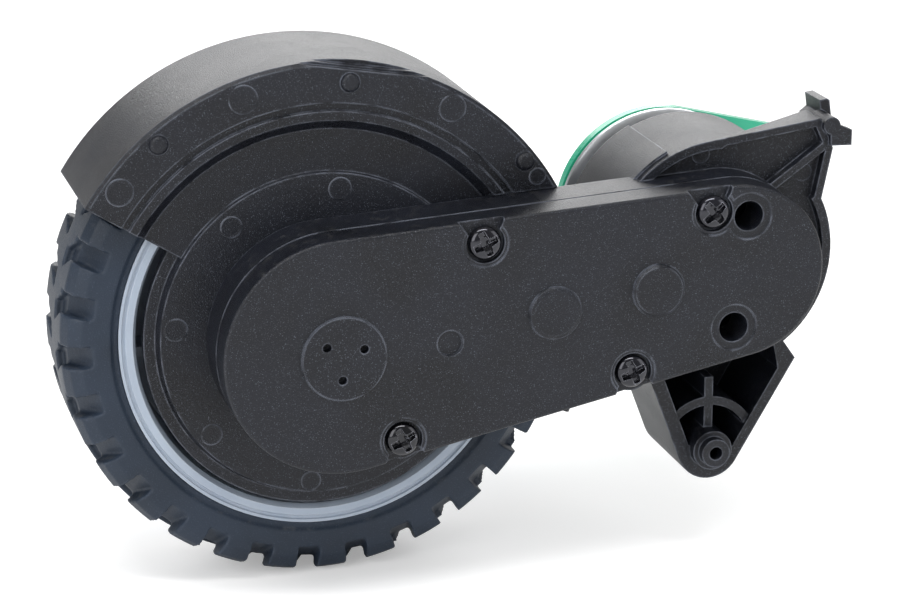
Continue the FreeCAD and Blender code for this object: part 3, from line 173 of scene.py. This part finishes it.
# %% [markdown]
# ## Shared effects
#
# - Grain is the fine texture that a spark eroded mould leaves on plastic. Its
#   glints are pale specks painted into the colour where single grains would
#   catch the light: a painted highlight.
# - Drift is the slow change of tone over a surface, from flow and handling.
# - Wear and highlight is a paler colour along each edge. Part of it is wear
#   where edges rub, and part is a painted highlight where a thin line of light
#   would catch. The Bevel node rounds the normal near an edge, so the
#   difference from the true normal shows how near the edge is.
# - Dust settles on faces that look up.
# - Scuffs are long faint scratches, a noise stretched far along one way.
#
# Each is a group, because plastic, rubber and metal all use them at other
# sizes. Sizes go in as millimetres. The two numbers of each ramp say where on
# the noise, which mostly runs from 0.3 to 0.7, the effect starts and is full.

# %% Shared effects
PAINTED_GLINT_FADE = 0.09


def noise_of(tree, size_mm, detail=2.0, stretch=(1, 1, 1), distortion=0.0):
    """Noise in the object's own coordinates, with features of about size_mm."""
    spot = add_node(tree, "ShaderNodeTexCoord").outputs["Object"]
    if stretch != (1, 1, 1):
        spot = add_node(tree, "ShaderNodeMapping", None, Vector=spot, Scale=stretch).outputs[0]
    scale = maths(tree, "DIVIDE", 1000.0, size_mm)
    return add_node(tree, "ShaderNodeTexNoise", None, Vector=spot, Scale=scale, Detail=detail,
                    Distortion=distortion).outputs[0]


def grain_group():
    group, given, made = start_group("moulded grain", {"Size": 0.3, "Cover": 0.6}, ("Height", "Painted glint"))
    fine = noise_of(group, given.outputs["Size"], 3.0)
    specks = noise_of(group, maths(group, "MULTIPLY", given.outputs["Size"], 0.9), 2.0)
    top = maths(group, "ADD", given.outputs["Cover"], PAINTED_GLINT_FADE)
    group.links.new(ramp(group, fine, 0.35, 0.7), made.inputs["Height"])
    # The glint output is a painted highlight: pale specks where grains would catch the light.
    group.links.new(ramp(group, specks, given.outputs["Cover"], top), made.inputs["Painted glint"])
    return group


def drift_group():
    group, given, made = start_group("tone drift", {"Size": 12.0}, ("Drift",))
    slow = noise_of(group, given.outputs["Size"], 3.0, distortion=0.4)
    group.links.new(ramp(group, slow, 0.3, 0.7), made.inputs["Drift"])
    return group


# The edge mask. The pale colour it brings is partly wear and partly a painted highlight.
def wear_and_highlight_group():
    group, given, made = start_group("worn and highlighted edges", {"Width": 0.25, "Break up": 2.0}, ("Wear and highlight",))
    radius = maths(group, "MULTIPLY", given.outputs["Width"], MM)
    rounded = add_node(group, "ShaderNodeBevel", {"samples": 4}, Radius=radius).outputs[0]
    true_normal = add_node(group, "ShaderNodeNewGeometry").outputs["Normal"]
    agree = add_node(group, "ShaderNodeVectorMath", {"operation": "DOT_PRODUCT"}, i0=rounded, i1=true_normal)
    near = ramp(group, maths(group, "SUBTRACT", 1.0, agree.outputs["Value"]), 0.01, 0.14)
    patchy = ramp(group, noise_of(group, given.outputs["Break up"], 3.0), 0.32, 0.6)
    group.links.new(maths(group, "MULTIPLY", near, patchy), made.inputs["Wear and highlight"])
    return group


def dust_group():
    group, given, made = start_group("settled dust", {"Size": 1.5}, ("Dust",))
    normal = add_node(group, "ShaderNodeNewGeometry").outputs["Normal"]
    rise = add_node(group, "ShaderNodeSeparateXYZ", None, Vector=normal).outputs["Z"]
    specks = ramp(group, noise_of(group, given.outputs["Size"], 6.0), 0.5, 0.75)
    group.links.new(maths(group, "MULTIPLY", ramp(group, rise, 0.1, 0.9), specks), made.inputs["Dust"])
    return group


def scuff_group():
    group, given, made = start_group("faint scuffs", {"Size": 0.5}, ("Scuff",))
    across = noise_of(group, given.outputs["Size"], 2.0, (0.06, 1, 1))
    along = noise_of(group, given.outputs["Size"], 2.0, (1, 1, 0.05))
    both = maths(group, "MAXIMUM", ramp(group, across, 0.64, 0.72), ramp(group, along, 0.66, 0.74))
    group.links.new(both, made.inputs["Scuff"])
    return group


GROUPS = {
    "grain": grain_group(),
    "drift": drift_group(),
    "wear_and_highlight": wear_and_highlight_group(),
    "dust": dust_group(),
    "scuff": scuff_group(),
}
print("shared effects:", ", ".join(GROUPS))

# %% [markdown]
# ## One finish, many materials
#
# A finish starts from its colour and gets darker or lighter with the drift. It
# takes pale painted glints from the grain's specks, gets paler along the edges,
# where wear and a painted edge highlight are one mix, gets paler under dust,
# and is a little rougher or smoother with the grain. The grain also feeds the
# bump. A Bevel node in front of the bump rounds the highlight along each edge,
# as no moulded or turned part has an edge that is perfectly sharp.

# %% The finish builder
DUST_COLOUR = shade(150, 148, 142)
DUST_SIZE = 1.2
SCUFF_SIZE = 0.6
WEAR_AND_HIGHLIGHT_PATCH = 2.5
COAT_ROUGHNESS = 0.08


def use_group(tree, name, **inputs):
    return add_node(tree, "ShaderNodeGroup", {"node_tree": GROUPS[name]}, **inputs).outputs


def build_finish(name, colour, second, roughness, metallic=0.0, coat=0.0, grain_size=0.3, grain_depth=0.004,
                 painted_glint=0.0, cover=0.6, edge=0.12, wear_and_highlight_colour=None, wear_and_highlight=0.5, dust=0.15, scuff=0.2,
                 drift_size=12.0, specular=0.5):
    """A material. Sizes are in millimetres, colours are linear, the rest are shares from 0 to 1."""
    material = bpy.data.materials.new(name)
    material.use_nodes = True
    tree = material.node_tree
    surface = tree.nodes["Principled BSDF"]
    grain = use_group(tree, "grain", Size=grain_size, Cover=cover)
    drift = use_group(tree, "drift", Size=drift_size)["Drift"]
    wear_and_highlight_mask = maths(tree, "MULTIPLY", use_group(tree, "wear_and_highlight", Width=edge * 2, Break_up=WEAR_AND_HIGHLIGHT_PATCH)["Wear and highlight"], wear_and_highlight)
    dusty = maths(tree, "MULTIPLY", use_group(tree, "dust", Size=DUST_SIZE)["Dust"], dust)
    scuffed = maths(tree, "MULTIPLY", use_group(tree, "scuff", Size=SCUFF_SIZE)["Scuff"], scuff)

    tone = mix_colour(tree, drift, colour, second)
    # Painted glints: the grain's pale specks, mixed into the colour as painted highlight.
    tone = mix_colour(tree, maths(tree, "MULTIPLY", grain["Painted glint"], painted_glint), tone, wear_and_highlight_colour or second)
    # Paler edges: part wear, part painted highlight.
    tone = mix_colour(tree, wear_and_highlight_mask, tone, wear_and_highlight_colour or second)
    tone = mix_colour(tree, dusty, tone, DUST_COLOUR)
    tree.links.new(tone, surface.inputs["Base Color"])

    rough = maths(tree, "MULTIPLY_ADD", drift, roughness * 0.25, roughness * 0.85)
    rough = maths(tree, "MULTIPLY_ADD", grain["Height"], roughness * 0.15, rough)
    rough = maths(tree, "MULTIPLY_ADD", scuffed, 0.3, rough)
    rough = maths(tree, "MULTIPLY_ADD", dusty, 0.4, rough, clamp=True)
    tree.links.new(rough, surface.inputs["Roughness"])
    surface.inputs["Metallic"].default_value = metallic
    surface.inputs["Coat Weight"].default_value = coat
    surface.inputs["Coat Roughness"].default_value = COAT_ROUGHNESS
    surface.inputs["Specular IOR Level"].default_value = specular

    rounded = add_node(tree, "ShaderNodeBevel", {"samples": 4}, Radius=edge * MM).outputs[0]
    height = maths(tree, "MULTIPLY_ADD", scuffed, -0.4, grain["Height"])
    bump = add_node(tree, "ShaderNodeBump", None, Height=height, Distance=grain_depth * MM, Strength=1.0,
                    Normal=rounded)
    tree.links.new(bump.outputs[0], surface.inputs["Normal"])
    return material


print("finish builder ready")

# %% [markdown]
# ## Plastics
#
# The case, the guard and the pivot arm are black ABS. Its skin mirrors the
# light at a low angle, yet it looks charcoal straight on, because the mould's
# grain spreads the light, and pale specks are painted in it as glints. The
# wheel centre is a light grey moulding with a satin face.

# %% Plastics
FINISHES = {
    # Black ABS: the pale bluish edges are mostly a painted highlight with some wear, and the pale specks are
    # painted glints.
    "black_abs": build_finish(
        "black ABS", shade(12, 14, 21), shade(21, 24, 33), 0.31, grain_size=0.17, grain_depth=0.028,
        painted_glint=0.36, cover=0.61, edge=0.2, wear_and_highlight_colour=shade(132, 138, 152), wear_and_highlight=0.65, dust=0.08,
        specular=0.45),
    "rim_grey": build_finish(
        "rim grey", shade(174, 186, 201), shade(166, 178, 194), 0.42, grain_size=0.25, grain_depth=0.004,
        wear_and_highlight_colour=shade(214, 217, 222), wear_and_highlight=0.6, dust=0.12),
    "white_acetal": build_finish(
        "white acetal", shade(226, 224, 214), shade(214, 212, 202), 0.3, grain_size=0.4, grain_depth=0.003,
        wear_and_highlight_colour=shade(238, 237, 230)),
    "cap_nylon": build_finish(
        "cap nylon", shade(30, 30, 31), shade(42, 42, 43), 0.45, grain_size=0.3, grain_depth=0.012, painted_glint=0.3,
        wear_and_highlight_colour=shade(80, 80, 80)),
    "socket_white": build_finish(
        "socket white", shade(228, 224, 210), shade(219, 214, 198), 0.4, grain_size=0.3, grain_depth=0.003,
        wear_and_highlight_colour=shade(240, 238, 230)),
    "sensor_epoxy": build_finish(
        "sensor epoxy", shade(24, 24, 25), shade(32, 32, 33), 0.55, grain_size=0.15, grain_depth=0.006,
        painted_glint=0.3, wear_and_highlight_colour=shade(70, 70, 70)),
}
print("plastics:", ", ".join(FINISHES))

# %% [markdown]
# ## Rubber
#
# The tyre is a slate blue rubber. Its gloss is soft, so it is rougher than the
# black plastic, and dust shows on it more.

# %% Rubber
# Tyre: the paler lug edges are part wear and part painted highlight, and the pale specks are painted glints.
FINISHES["tyre_rubber"] = build_finish(
    "tyre rubber", shade(33, 43, 56), shade(41, 52, 67), 0.46, grain_size=0.22, grain_depth=0.015, painted_glint=0.2,
    cover=0.6, edge=0.25, wear_and_highlight_colour=shade(98, 109, 128), wear_and_highlight=0.55, dust=0.15, scuff=0.15, specular=0.4)
print("rubber: tyre_rubber")

# %% [markdown]
# ## Metals and the motor's inner parts
#
# Zinc plated steel is cool and bright, the motor can is drawn sheet steel with
# a nickel skin, and the gear next to the motor is brass. Bronze bushes are
# pressed from powder, so they get a coarse grain. Iron sheets, the ferrite
# magnets and the carbon brushes are dull and dark.

# %% Metals
FINISHES.update({
    # Black screw: the near white edges are mostly a painted highlight, with a little wear.
    "black_screw": build_finish(
        "black screw", shade(26, 27, 33), shade(40, 41, 52), 0.17, metallic=0.8, coat=1.0, grain_size=0.5,
        grain_depth=0.002, edge=0.05, wear_and_highlight_colour=shade(190, 192, 205), wear_and_highlight=0.8, dust=0.03),
    "zinc_steel": build_finish(
        "zinc steel", shade(196, 200, 204), shade(180, 186, 194), 0.26, metallic=1.0, grain_size=0.6,
        grain_depth=0.002, edge=0.08, wear_and_highlight_colour=shade(220, 220, 220)),
    "can_steel": build_finish(
        "can steel", shade(232, 235, 238), shade(222, 226, 230), 0.34, metallic=1.0, grain_size=0.6,
        grain_depth=0.0004, edge=0.12, wear_and_highlight_colour=shade(240, 240, 240), wear_and_highlight=0.3, dust=0.04, scuff=0.15),
    "sintered_bronze": build_finish(
        "sintered bronze", shade(176, 132, 88), shade(150, 108, 70), 0.5, metallic=0.9, grain_size=0.12,
        grain_depth=0.02, painted_glint=0.4, wear_and_highlight_colour=shade(206, 164, 118)),
    "brass_gear": build_finish(
        "brass gear", shade(206, 176, 104), shade(188, 156, 88), 0.28, metallic=1.0, grain_size=0.4,
        grain_depth=0.002, edge=0.06, wear_and_highlight_colour=shade(226, 202, 140)),
    "ferrite": build_finish(
        "ferrite", shade(52, 52, 55), shade(64, 64, 67), 0.6, grain_size=0.15, grain_depth=0.012, painted_glint=0.4,
        wear_and_highlight_colour=shade(100, 100, 102)),
    "lamination": build_finish(
        "lamination", shade(112, 112, 116), shade(88, 88, 94), 0.45, metallic=0.8, grain_size=0.3,
        grain_depth=0.01, wear_and_highlight_colour=shade(160, 160, 162)),
    "carbon": build_finish(
        "carbon", shade(40, 40, 42), shade(52, 50, 50), 0.55, metallic=0.2, grain_size=0.15, grain_depth=0.01,
        painted_glint=0.4, wear_and_highlight_colour=shade(96, 92, 88)),
    "board_green": build_finish(
        "board green", shade(40, 178, 138), shade(48, 188, 148), 0.3, coat=0.3, grain_size=0.8,
        grain_depth=0.004, edge=0.1, wear_and_highlight_colour=shade(120, 205, 170), wear_and_highlight=0.5),
})
print("finishes:", len(FINISHES))

# %% [markdown]
# ## Dress the CAD parts
#
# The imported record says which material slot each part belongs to, so one loop
# gives every part its finish.

# %% Dress the CAD parts
def dress_parts():
    for part in frame["record"]["subparts"]:
        node = frame["nodes"][part["node"]]
        node.data.materials.clear()
        node.data.materials.append(FINISHES[part["material_slot"]])
    return len(frame["record"]["subparts"])


print("dressed parts:", dress_parts())

# %% [markdown]
# ## The arm's own frame
#
# The module hangs a little askew, so its parts are easier to place along the
# arm: reach runs from the wheel to the motor, rise across it and out towards
# the camera. One matrix takes such a place, in millimetres, to the scene. A
# new piece is built there, rides on its body and names its material slot.

# %% The arm's own frame
import bmesh

TILT = math.radians(7.76)
WHEEL_REACH, WHEEL_RISE, WHEEL_DEPTH = -52.5, 28.1, 6.0
ARM = Matrix((
    (math.cos(TILT), -math.sin(TILT), 0, WHEEL_REACH * math.cos(TILT) - WHEEL_RISE * math.sin(TILT)),
    (0, 0, -1, WHEEL_DEPTH),
    (math.sin(TILT), math.cos(TILT), 0, WHEEL_REACH * math.sin(TILT) + WHEEL_RISE * math.cos(TILT)),
    (0, 0, 0, 1),
))
MOTOR = 57.25
SHARPEST_ROUND = math.radians(26)


def add_piece(name, form, slot, body):
    """Turn a bmesh drawn in the arm's frame into a piece of the scene."""
    bmesh.ops.transform(form, matrix=Matrix.Scale(MM, 4) @ ARM, verts=form.verts)
    bmesh.ops.recalc_face_normals(form, faces=form.faces)
    mesh = bpy.data.meshes.new(name)
    form.to_mesh(mesh)
    form.free()
    for face in mesh.polygons:
        face.use_smooth = True
    mesh.set_sharp_from_angle(angle=SHARPEST_ROUND)
    piece = bpy.data.objects.new(name, mesh)
    bpy.context.scene.collection.objects.link(piece)
    mesh.materials.append(FINISHES[slot])
    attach(piece, body)
    return piece


def ring_of(form, radius, out, steps):
    """Points round the axis, or a single one at a radius of 0."""
    if radius == 0:
        return [form.verts.new((0, 0, out))]
    angles = [step * math.tau / steps for step in range(steps)]
    return [form.verts.new((radius * math.cos(angle), radius * math.sin(angle), out)) for angle in angles]


def spin_profile(form, profile, spot, steps=48, turn=None):
    """Sweep (radius, out) points round an axis at spot, closed at a radius of 0."""
    rings = [ring_of(form, radius, out, steps) for radius, out in profile]
    for near, far in zip(rings, rings[1:]):
        for step in range(steps):
            following = (step + 1) % steps
            if len(near) == 1:
                form.faces.new((near[0], far[step], far[following]))
            elif len(far) == 1:
                form.faces.new((near[step], far[0], near[following]))
            else:
                form.faces.new((near[step], far[step], far[following], near[following]))
    fresh = [vert for ring in rings for vert in ring]
    place = Matrix.Translation(spot) @ (turn or Matrix())
    bmesh.ops.transform(form, matrix=place, verts=fresh)


print("arm tilt", round(math.degrees(TILT), 2), "degrees")

# %% [markdown]
# ## Tyre
#
# A moulded rubber tyre has no sharp corner: its lugs are rounded all over and
# the bottoms of the pockets are soft. The CAD tyre has the right lugs with
# crisp edges. A copy is remeshed to even small squares and then smoothed, which
# rounds every edge by about a third of a millimetre and leaves the form as it
# is. Last, triangles are taken out where the surface is flat.

# %% Tyre
TYRE_SQUARE = 0.25
TYRE_ROUNDS = 2
TYRE_TRIANGLES = 180000


def freeze(piece):
    """Turn a piece and its modifiers into one plain mesh."""
    bpy.context.view_layer.update()
    ready = piece.evaluated_get(bpy.context.evaluated_depsgraph_get())
    piece.data = bpy.data.meshes.new_from_object(ready)
    piece.modifiers.clear()


def triangles_of(piece):
    return sum(len(face.vertices) - 2 for face in piece.data.polygons)


def soft_copy(node, name, slot, body, voxel, rounds, most):
    """A rounded copy of a CAD part, which takes its place."""
    form = bmesh.new()
    form.from_mesh(frame["nodes"][node].data)
    bmesh.ops.remove_doubles(form, verts=form.verts, dist=0.001 * MM)
    mesh = bpy.data.meshes.new(name)
    form.to_mesh(mesh)
    form.free()
    piece = bpy.data.objects.new(name, mesh)
    bpy.context.scene.collection.objects.link(piece)
    remesh = piece.modifiers.new("even squares", "REMESH")
    remesh.mode = "VOXEL"
    remesh.voxel_size = voxel * MM
    remesh.use_smooth_shade = True
    soften = piece.modifiers.new("round the edges", "SMOOTH")
    soften.factor = 0.5
    soften.iterations = rounds
    freeze(piece)
    thin = piece.modifiers.new("fewer triangles", "DECIMATE")
    thin.ratio = min(1.0, most / triangles_of(piece))
    freeze(piece)
    piece.data.materials.clear()
    piece.data.materials.append(FINISHES[slot])
    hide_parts(node)
    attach(piece, body)
    return piece


tyre = soft_copy("tyre", "rounded_tyre", "tyre_rubber", "wheel", TYRE_SQUARE, TYRE_ROUNDS, TYRE_TRIANGLES)
print("tyre triangles:", triangles_of(tyre))

# %% [markdown]
# ## Screws
#
# The cover is held by pan head screws with a cross recess. The head is a low
# dome and the recess is a cross whose four arms get shallower outwards. Both
# are heights over a round grid, so the head is a polar grid whose points are
# lifted by the dome and pushed down inside the cross. The sides and the shank
# are turned. The measures of the head are shares of its radius or height.

# %% Screw maker
HEAD_STEPS, HEAD_RINGS = 120, 34
RIM_HEIGHT, DOME_POWER = 0.4, 2.4
ARM_REACH, ARM_WIDTH, ARM_TAPER, ARM_SLOPE = 0.74, 0.23, 0.07, 0.45
WALL, CORE, CORE_TOP = 0.035, 0.3, 0.36


def step_up(low, high, number):
    """A smooth step from 0 at low to 1 at high, as ramp gives in a shader."""
    share = min(1.0, max(0.0, (number - low) / (high - low)))
    return share * share * (3 - 2 * share)


def head_height(x, y, radius, height, depth):
    """Height of a pan head with a cross recess above its seat."""
    far = math.hypot(x, y) / radius
    dome = height * (RIM_HEIGHT + (1 - RIM_HEIGHT) * math.sqrt(max(0.0, 1 - far ** DOME_POWER)))
    arm = radius * ARM_REACH
    cut = 0.0
    for along, across in ((abs(x), abs(y)), (abs(y), abs(x))):
        half_width = radius * (ARM_WIDTH - ARM_TAPER * along / arm)
        inside = 1 - step_up(half_width, half_width + radius * WALL, across)
        reach = 1 - step_up(arm * 0.95, arm * 1.03, along)
        cut = max(cut, inside * reach * depth * (1 - ARM_SLOPE * along / arm))
    core = 1 - step_up(radius * CORE, radius * CORE_TOP, math.hypot(x, y))
    return dome - max(cut, core * depth)


def draw_screw(form, spot, spin, radius, height, shank, length, facing=1, depth=1.1):
    """One screw: its seat is at spot and its shank runs inwards."""
    steps, rings = HEAD_STEPS, HEAD_RINGS
    fresh = [form.verts.new((0, 0, head_height(0, 0, radius, height, depth)))]
    for ring in range(1, rings + 1):
        here = radius * ring / rings
        for step in range(steps):
            angle = step * math.tau / steps
            x, y = here * math.cos(angle), here * math.sin(angle)
            fresh.append(form.verts.new((x, y, head_height(x, y, radius, height, depth))))
    profile = ((radius, 0.0), (shank, 0.0), (shank, shank - length), (shank * 0.1, -length))
    for here, out in profile:
        fresh += ring_of(form, here, out, steps)
    for step in range(steps):
        following = (step + 1) % steps
        form.faces.new((fresh[0], fresh[1 + step], fresh[1 + following]))
        for ring in range(rings + len(profile) - 1):
            near, far = 1 + ring * steps, 1 + (ring + 1) * steps
            form.faces.new((fresh[near + step], fresh[far + step],
                            fresh[far + following], fresh[near + following]))
    form.faces.new(fresh[-steps:])
    turn = Matrix.Rotation(math.radians(spin), 4, "Z")
    if facing < 0:
        turn = Matrix.Rotation(math.pi, 4, "X") @ turn
    bmesh.ops.transform(form, matrix=Matrix.Translation(spot) @ turn, verts=fresh)


def add_screws(name, node, slot, body, spots, **size):
    """Screws of one kind as one piece, which takes the place of a CAD part."""
    form = bmesh.new()
    for reach, rise, out, spin in spots:
        draw_screw(form, (reach, rise, out), spin, **size)
    piece = add_piece(name, form, slot, body)
    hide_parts(node)
    return piece


def around(radius, angle, reach=0.0, rise=0.0):
    """The place at a radius and an angle, in degrees, round a centre."""
    turn = math.radians(angle)
    return reach + radius * math.cos(turn), rise + radius * math.sin(turn)


print("screw maker ready")

# %% Cover screws
COVER_SEAT = 10.5
COVER_SCREWS = [(reach, rise, COVER_SEAT, spin) for reach, rise, spin in (
    (6.45, -13.4, 20), (21.6, 11.7, 15), (54.3, 9.25, 33), (40.0, -11.0, 15))]
screws = add_screws("cross_recess_screws", "cover_screws", "black_screw", "module", COVER_SCREWS,
                    radius=2.3, height=1.6, shank=1.2, length=8.6, depth=1.5)
print("cover screws:", len(COVER_SCREWS), "triangles:", triangles_of(screws))

# %% [markdown]
# ## Screws at the back and in the motor
#
# Two zinc plated screws hold the motor behind the round access holes. Three
# black ones hold the wheel guard to the case from behind, inside the wheel,
# and one with a washer holds the wheel on its shaft.

# %% Other screws
MOTOR_SCREWS = [(*around(8.0, turn, MOTOR), 1.5, 20) for turn in (75.7, 255.7)]
GUARD_SCREWS = [(*around(13.3, turn), -1.5, turn) for turn in (90, 170, 250)]
WHEEL_SEAT = WHEEL_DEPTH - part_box("wheel_washer")[1][1] / MM
add_screws("motor_fixings", "motor_screws", "zinc_steel", "module", MOTOR_SCREWS,
           radius=1.95, height=1.4, shank=1.2, length=2.4)
add_screws("guard_fixings", "guard_screws", "black_screw", "module", GUARD_SCREWS,
           radius=1.7, height=1.1, shank=0.9, length=5.2, facing=-1, depth=0.7)
add_screws("wheel_fixing", "wheel_screw", "zinc_steel", "wheel", [(0, 0, WHEEL_SEAT, 30)],
           radius=2.6, height=1.4, shank=1.25, length=6.9, facing=-1)
print("the wheel screw sits at", round(WHEEL_SEAT, 2))

# %% [markdown]
# ## Marks of the mould
#
# The pins that push a moulding out of its mould leave faint round marks. They
# stand on the face of the guard, on the disc inside the wheel and on the floor
# of the wing. Each is a very low disc with a soft ridge, whose foot dips below
# the face around it.

# %% Ejector marks
GUARD_FACE, DISC_FACE, WING_FLOOR = 0.6, 0.0, 1.5
GUARD_MARKS = ((35.7, 133.7, 1.9), (35.6, 100.0, 2.0), (35.9, 51.7, 1.9), (36.7, 26.2, 1.2))
DISC_MARKS = ((20.7, 75.4, 1.6), (20.6, 120.4, 1.5), (20.8, 166.0, 1.6), (20.8, -148.4, 1.5),
              (21.4, -103.5, 1.4))
WING_MARKS = ((56.6, 14.75, 1.3), (71.4, 9.1, 1.3))


def mark_profile(radius):
    """A flat low disc, the ridge round it and the foot below the face."""
    low, ridge, foot = 0.02, 0.045, -0.06
    return ((0, low), (radius - 0.4, low), (radius - 0.34, low), (radius - 0.2, ridge), (radius - 0.1, ridge),
            (radius + 0.05, 0.01), (radius + 0.15, foot), (0, foot))


def add_marks():
    form = bmesh.new()
    spots = [(*around(far, turn), GUARD_FACE, radius) for far, turn, radius in GUARD_MARKS]
    spots += [(*around(far, turn), DISC_FACE, radius) for far, turn, radius in DISC_MARKS]
    spots += [(reach, rise, WING_FLOOR, radius) for reach, rise, radius in WING_MARKS]
    for reach, rise, out, radius in spots:
        spin_profile(form, mark_profile(radius), (reach, rise, out))
    add_piece("ejector_marks", form, "black_abs", "module")
    return len(spots)


print("ejector marks:", add_marks())

# %% [markdown]
# ## Encoder board
#
# The round board sits behind the motor. Its copper shows as pale tinned pads
# at the top edge, as solder at the motor's two blades, and as small parts with
# two tinned ends.

# %% Board parts
def add_box(form, low, high, turn):
    """A box with rounded edges between two corners, turned about its middle."""
    middle = [(a + b) / 2 for a, b in zip(low, high)]
    size = [b - a for a, b in zip(low, high)]
    spot = Matrix.Translation(middle) @ Matrix.Rotation(math.radians(turn), 4, "Z")
    fresh = bmesh.ops.create_cube(form, size=1.0, matrix=spot @ Matrix.Diagonal((*size, 1)))["verts"]
    edges = list({edge for vert in fresh for edge in vert.link_edges})
    bmesh.ops.bevel(form, geom=edges, offset=min(size) * 0.2, segments=2, affect="EDGES")


BOARD_FRONT, BOARD_BACK = -23.6, -25.2
PAD_ANGLES = (54.5, 60.5, 66.5, 72.5)
PAD_RADIUS = 14.85
BLADE_RISE = 9.4
SOLDER = ((1.9, 0.0), (1.7, 0.16), (1.2, 0.5), (0.8, 0.95), (0.35, 1.05), (0, 1.05))
CHIPS = ((48.6, 6.0, 20), (46.9, -1.5, 90), (51.0, -8.4, 50), (62.5, -10.4, -20))


def add_blocks(form, spots, half_length, half_width, low, high):
    """Boxes of one size, each at a reach and a rise and turned its own way."""
    for reach, rise, turn in spots:
        near = (reach - half_length, rise - half_width, low)
        far = (reach + half_length, rise + half_width, high)
        add_box(form, near, far, turn)


def add_board_parts():
    tin = bmesh.new()
    for angle in PAD_ANGLES:
        pad = [(*around(PAD_RADIUS, angle, MOTOR), angle - 90)]
        add_blocks(tin, pad, 0.45, 0.6, BOARD_FRONT - 0.02, BOARD_FRONT + 0.1)
        add_blocks(tin, pad, 0.45, 0.6, BOARD_BACK - 0.1, BOARD_BACK + 0.02)
    flip = Matrix.Rotation(math.pi, 4, "X")
    for side in (-1, 1):
        spin_profile(tin, SOLDER, (MOTOR, side * BLADE_RISE, BOARD_BACK + 0.02), 32, flip)
    add_blocks(tin, CHIPS, 1.0, 0.6, BOARD_BACK - 0.42, BOARD_BACK + 0.02)
    add_piece("tinned_pads", tin, "zinc_steel", "module")
    chips = bmesh.new()
    add_blocks(chips, CHIPS, 0.62, 0.66, BOARD_BACK - 0.5, BOARD_BACK - 0.02)
    add_piece("board_chips", chips, "sensor_epoxy", "module")


add_board_parts()
print("pads:", len(PAD_ANGLES), "small parts:", len(CHIPS))

# %% [markdown]
# ## Motor can behind the barrel
#
# The open end of the can is rolled over its cap, and a wider flange stands just
# in front of the board. All of it is bright drawn steel, which shows as a
# stepped silver ring between the barrel and the board.

# %% Can rings
ROLLED_EDGE = ((13.6, -15.9), (14.05, -16.1), (14.1, -17.2), (13.8, -17.5), (13.85, -18.0), (14.3, -18.3),
               (14.35, -19.6), (14.0, -20.0), (14.0, -21.2), (14.2, -21.5))
FLANGE = ((15.2, -21.7), (15.6, -21.95), (15.65, -22.6), (15.4, -22.85), (13.6, -22.9))


def add_can_rings():
    form = bmesh.new()
    spin_profile(form, ROLLED_EDGE + FLANGE, (MOTOR, 0, 0), 160)
    return add_piece("can_rings", form, "can_steel", "module")


print("can rings, triangles:", triangles_of(add_can_rings()))

# %% [markdown]
# ## Floor and light
#
# The object stands on a pale floor that runs out of the picture. The world
# gives an even fill, and it is plain white where the camera looks past the
# floor. Reflections see it dim, so that black plastic stays black. A broad lamp
# behind makes the tops bright, a strip above catches the rounded edges, and
# soft lamps at the left and right keep the fronts clear.

# %% Floor
FLOOR_RADIUS = 4.0
FLOOR_GAP = 0.0001
FLOOR_GLOW = 0.3


def add_floor():
    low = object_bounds()[0]
    mesh = bpy.data.meshes.new("floor")
    form = bmesh.new()
    bmesh.ops.create_circle(form, cap_ends=True, segments=96, radius=FLOOR_RADIUS)
    form.to_mesh(mesh)
    form.free()
    floor = bpy.data.objects.new("floor", mesh)
    floor.location = (0, 0, low[2] - FLOOR_GAP)
    bpy.context.scene.collection.objects.link(floor)
    material = bpy.data.materials.new("floor paper")
    material.use_nodes = True
    tree = material.node_tree
    surface = tree.nodes["Principled BSDF"]
    surface.inputs["Base Color"].default_value = (0.9, 0.9, 0.9, 1)
    surface.inputs["Roughness"].default_value = 0.9
    surface.inputs["Emission Color"].default_value = (1, 1, 1, 1)
    seen = add_node(tree, "ShaderNodeLightPath").outputs["Is Camera Ray"]
    tree.links.new(maths(tree, "MULTIPLY", seen, FLOOR_GLOW), surface.inputs["Emission Strength"])
    mesh.materials.append(material)
    floor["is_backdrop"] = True
    return floor


print("floor at", round(add_floor().location[2], 4))

# %% Light
CENTRE = (-0.01, 0.0, 0.02)


def add_lamp(name, size, power, place):
    """A soft rectangular lamp, aimed at the middle of the object."""
    light = bpy.data.lights.new(name, "AREA")
    light.shape = "RECTANGLE"
    light.size, light.size_y = size
    light.energy = power
    lamp = bpy.data.objects.new(name, light)
    lamp.location = place
    lamp.rotation_euler = (Vector(CENTRE) - Vector(place)).to_track_quat("-Z", "Y").to_euler()
    bpy.context.scene.collection.objects.link(lamp)


def light_world(fill, mirrored, seen):
    """The level of the world for plain light, in reflections and to the camera."""
    world = bpy.data.worlds.new("studio")
    bpy.context.scene.world = world
    world.use_nodes = True
    tree = world.node_tree
    ray = add_node(tree, "ShaderNodeLightPath").outputs
    looked = maths(tree, "MAXIMUM", ray["Is Camera Ray"], ray["Is Transmission Ray"])
    level = maths(tree, "MULTIPLY_ADD", looked, seen - fill, fill)
    sky = tree.nodes["Background"]
    sky.inputs["Color"].default_value = (1, 1, 1, 1)
    level = maths(tree, "MULTIPLY_ADD", ray["Is Glossy Ray"], mirrored - fill, level)
    tree.links.new(level, sky.inputs["Strength"])


light_world(fill=0.62, mirrored=0.26, seen=1.0)
add_lamp("lamp behind", (0.85, 0.45), 3.9, (0.2, 0.9, 0.38))
add_lamp("strip above", (0.7, 0.16), 3.2, (-0.1, -0.25, 0.75))
add_lamp("lamp left", (0.6, 0.8), 4.0, (-0.8, -0.6, 0.45))
add_lamp("lamp right", (0.5, 0.6), 1.2, (0.8, -0.5, 0.4))
bpy.context.scene.view_settings.view_transform = "Standard"
print("lamps:", len(bpy.data.lights))

# %% [markdown]
# ## End

# %% Finish
import json
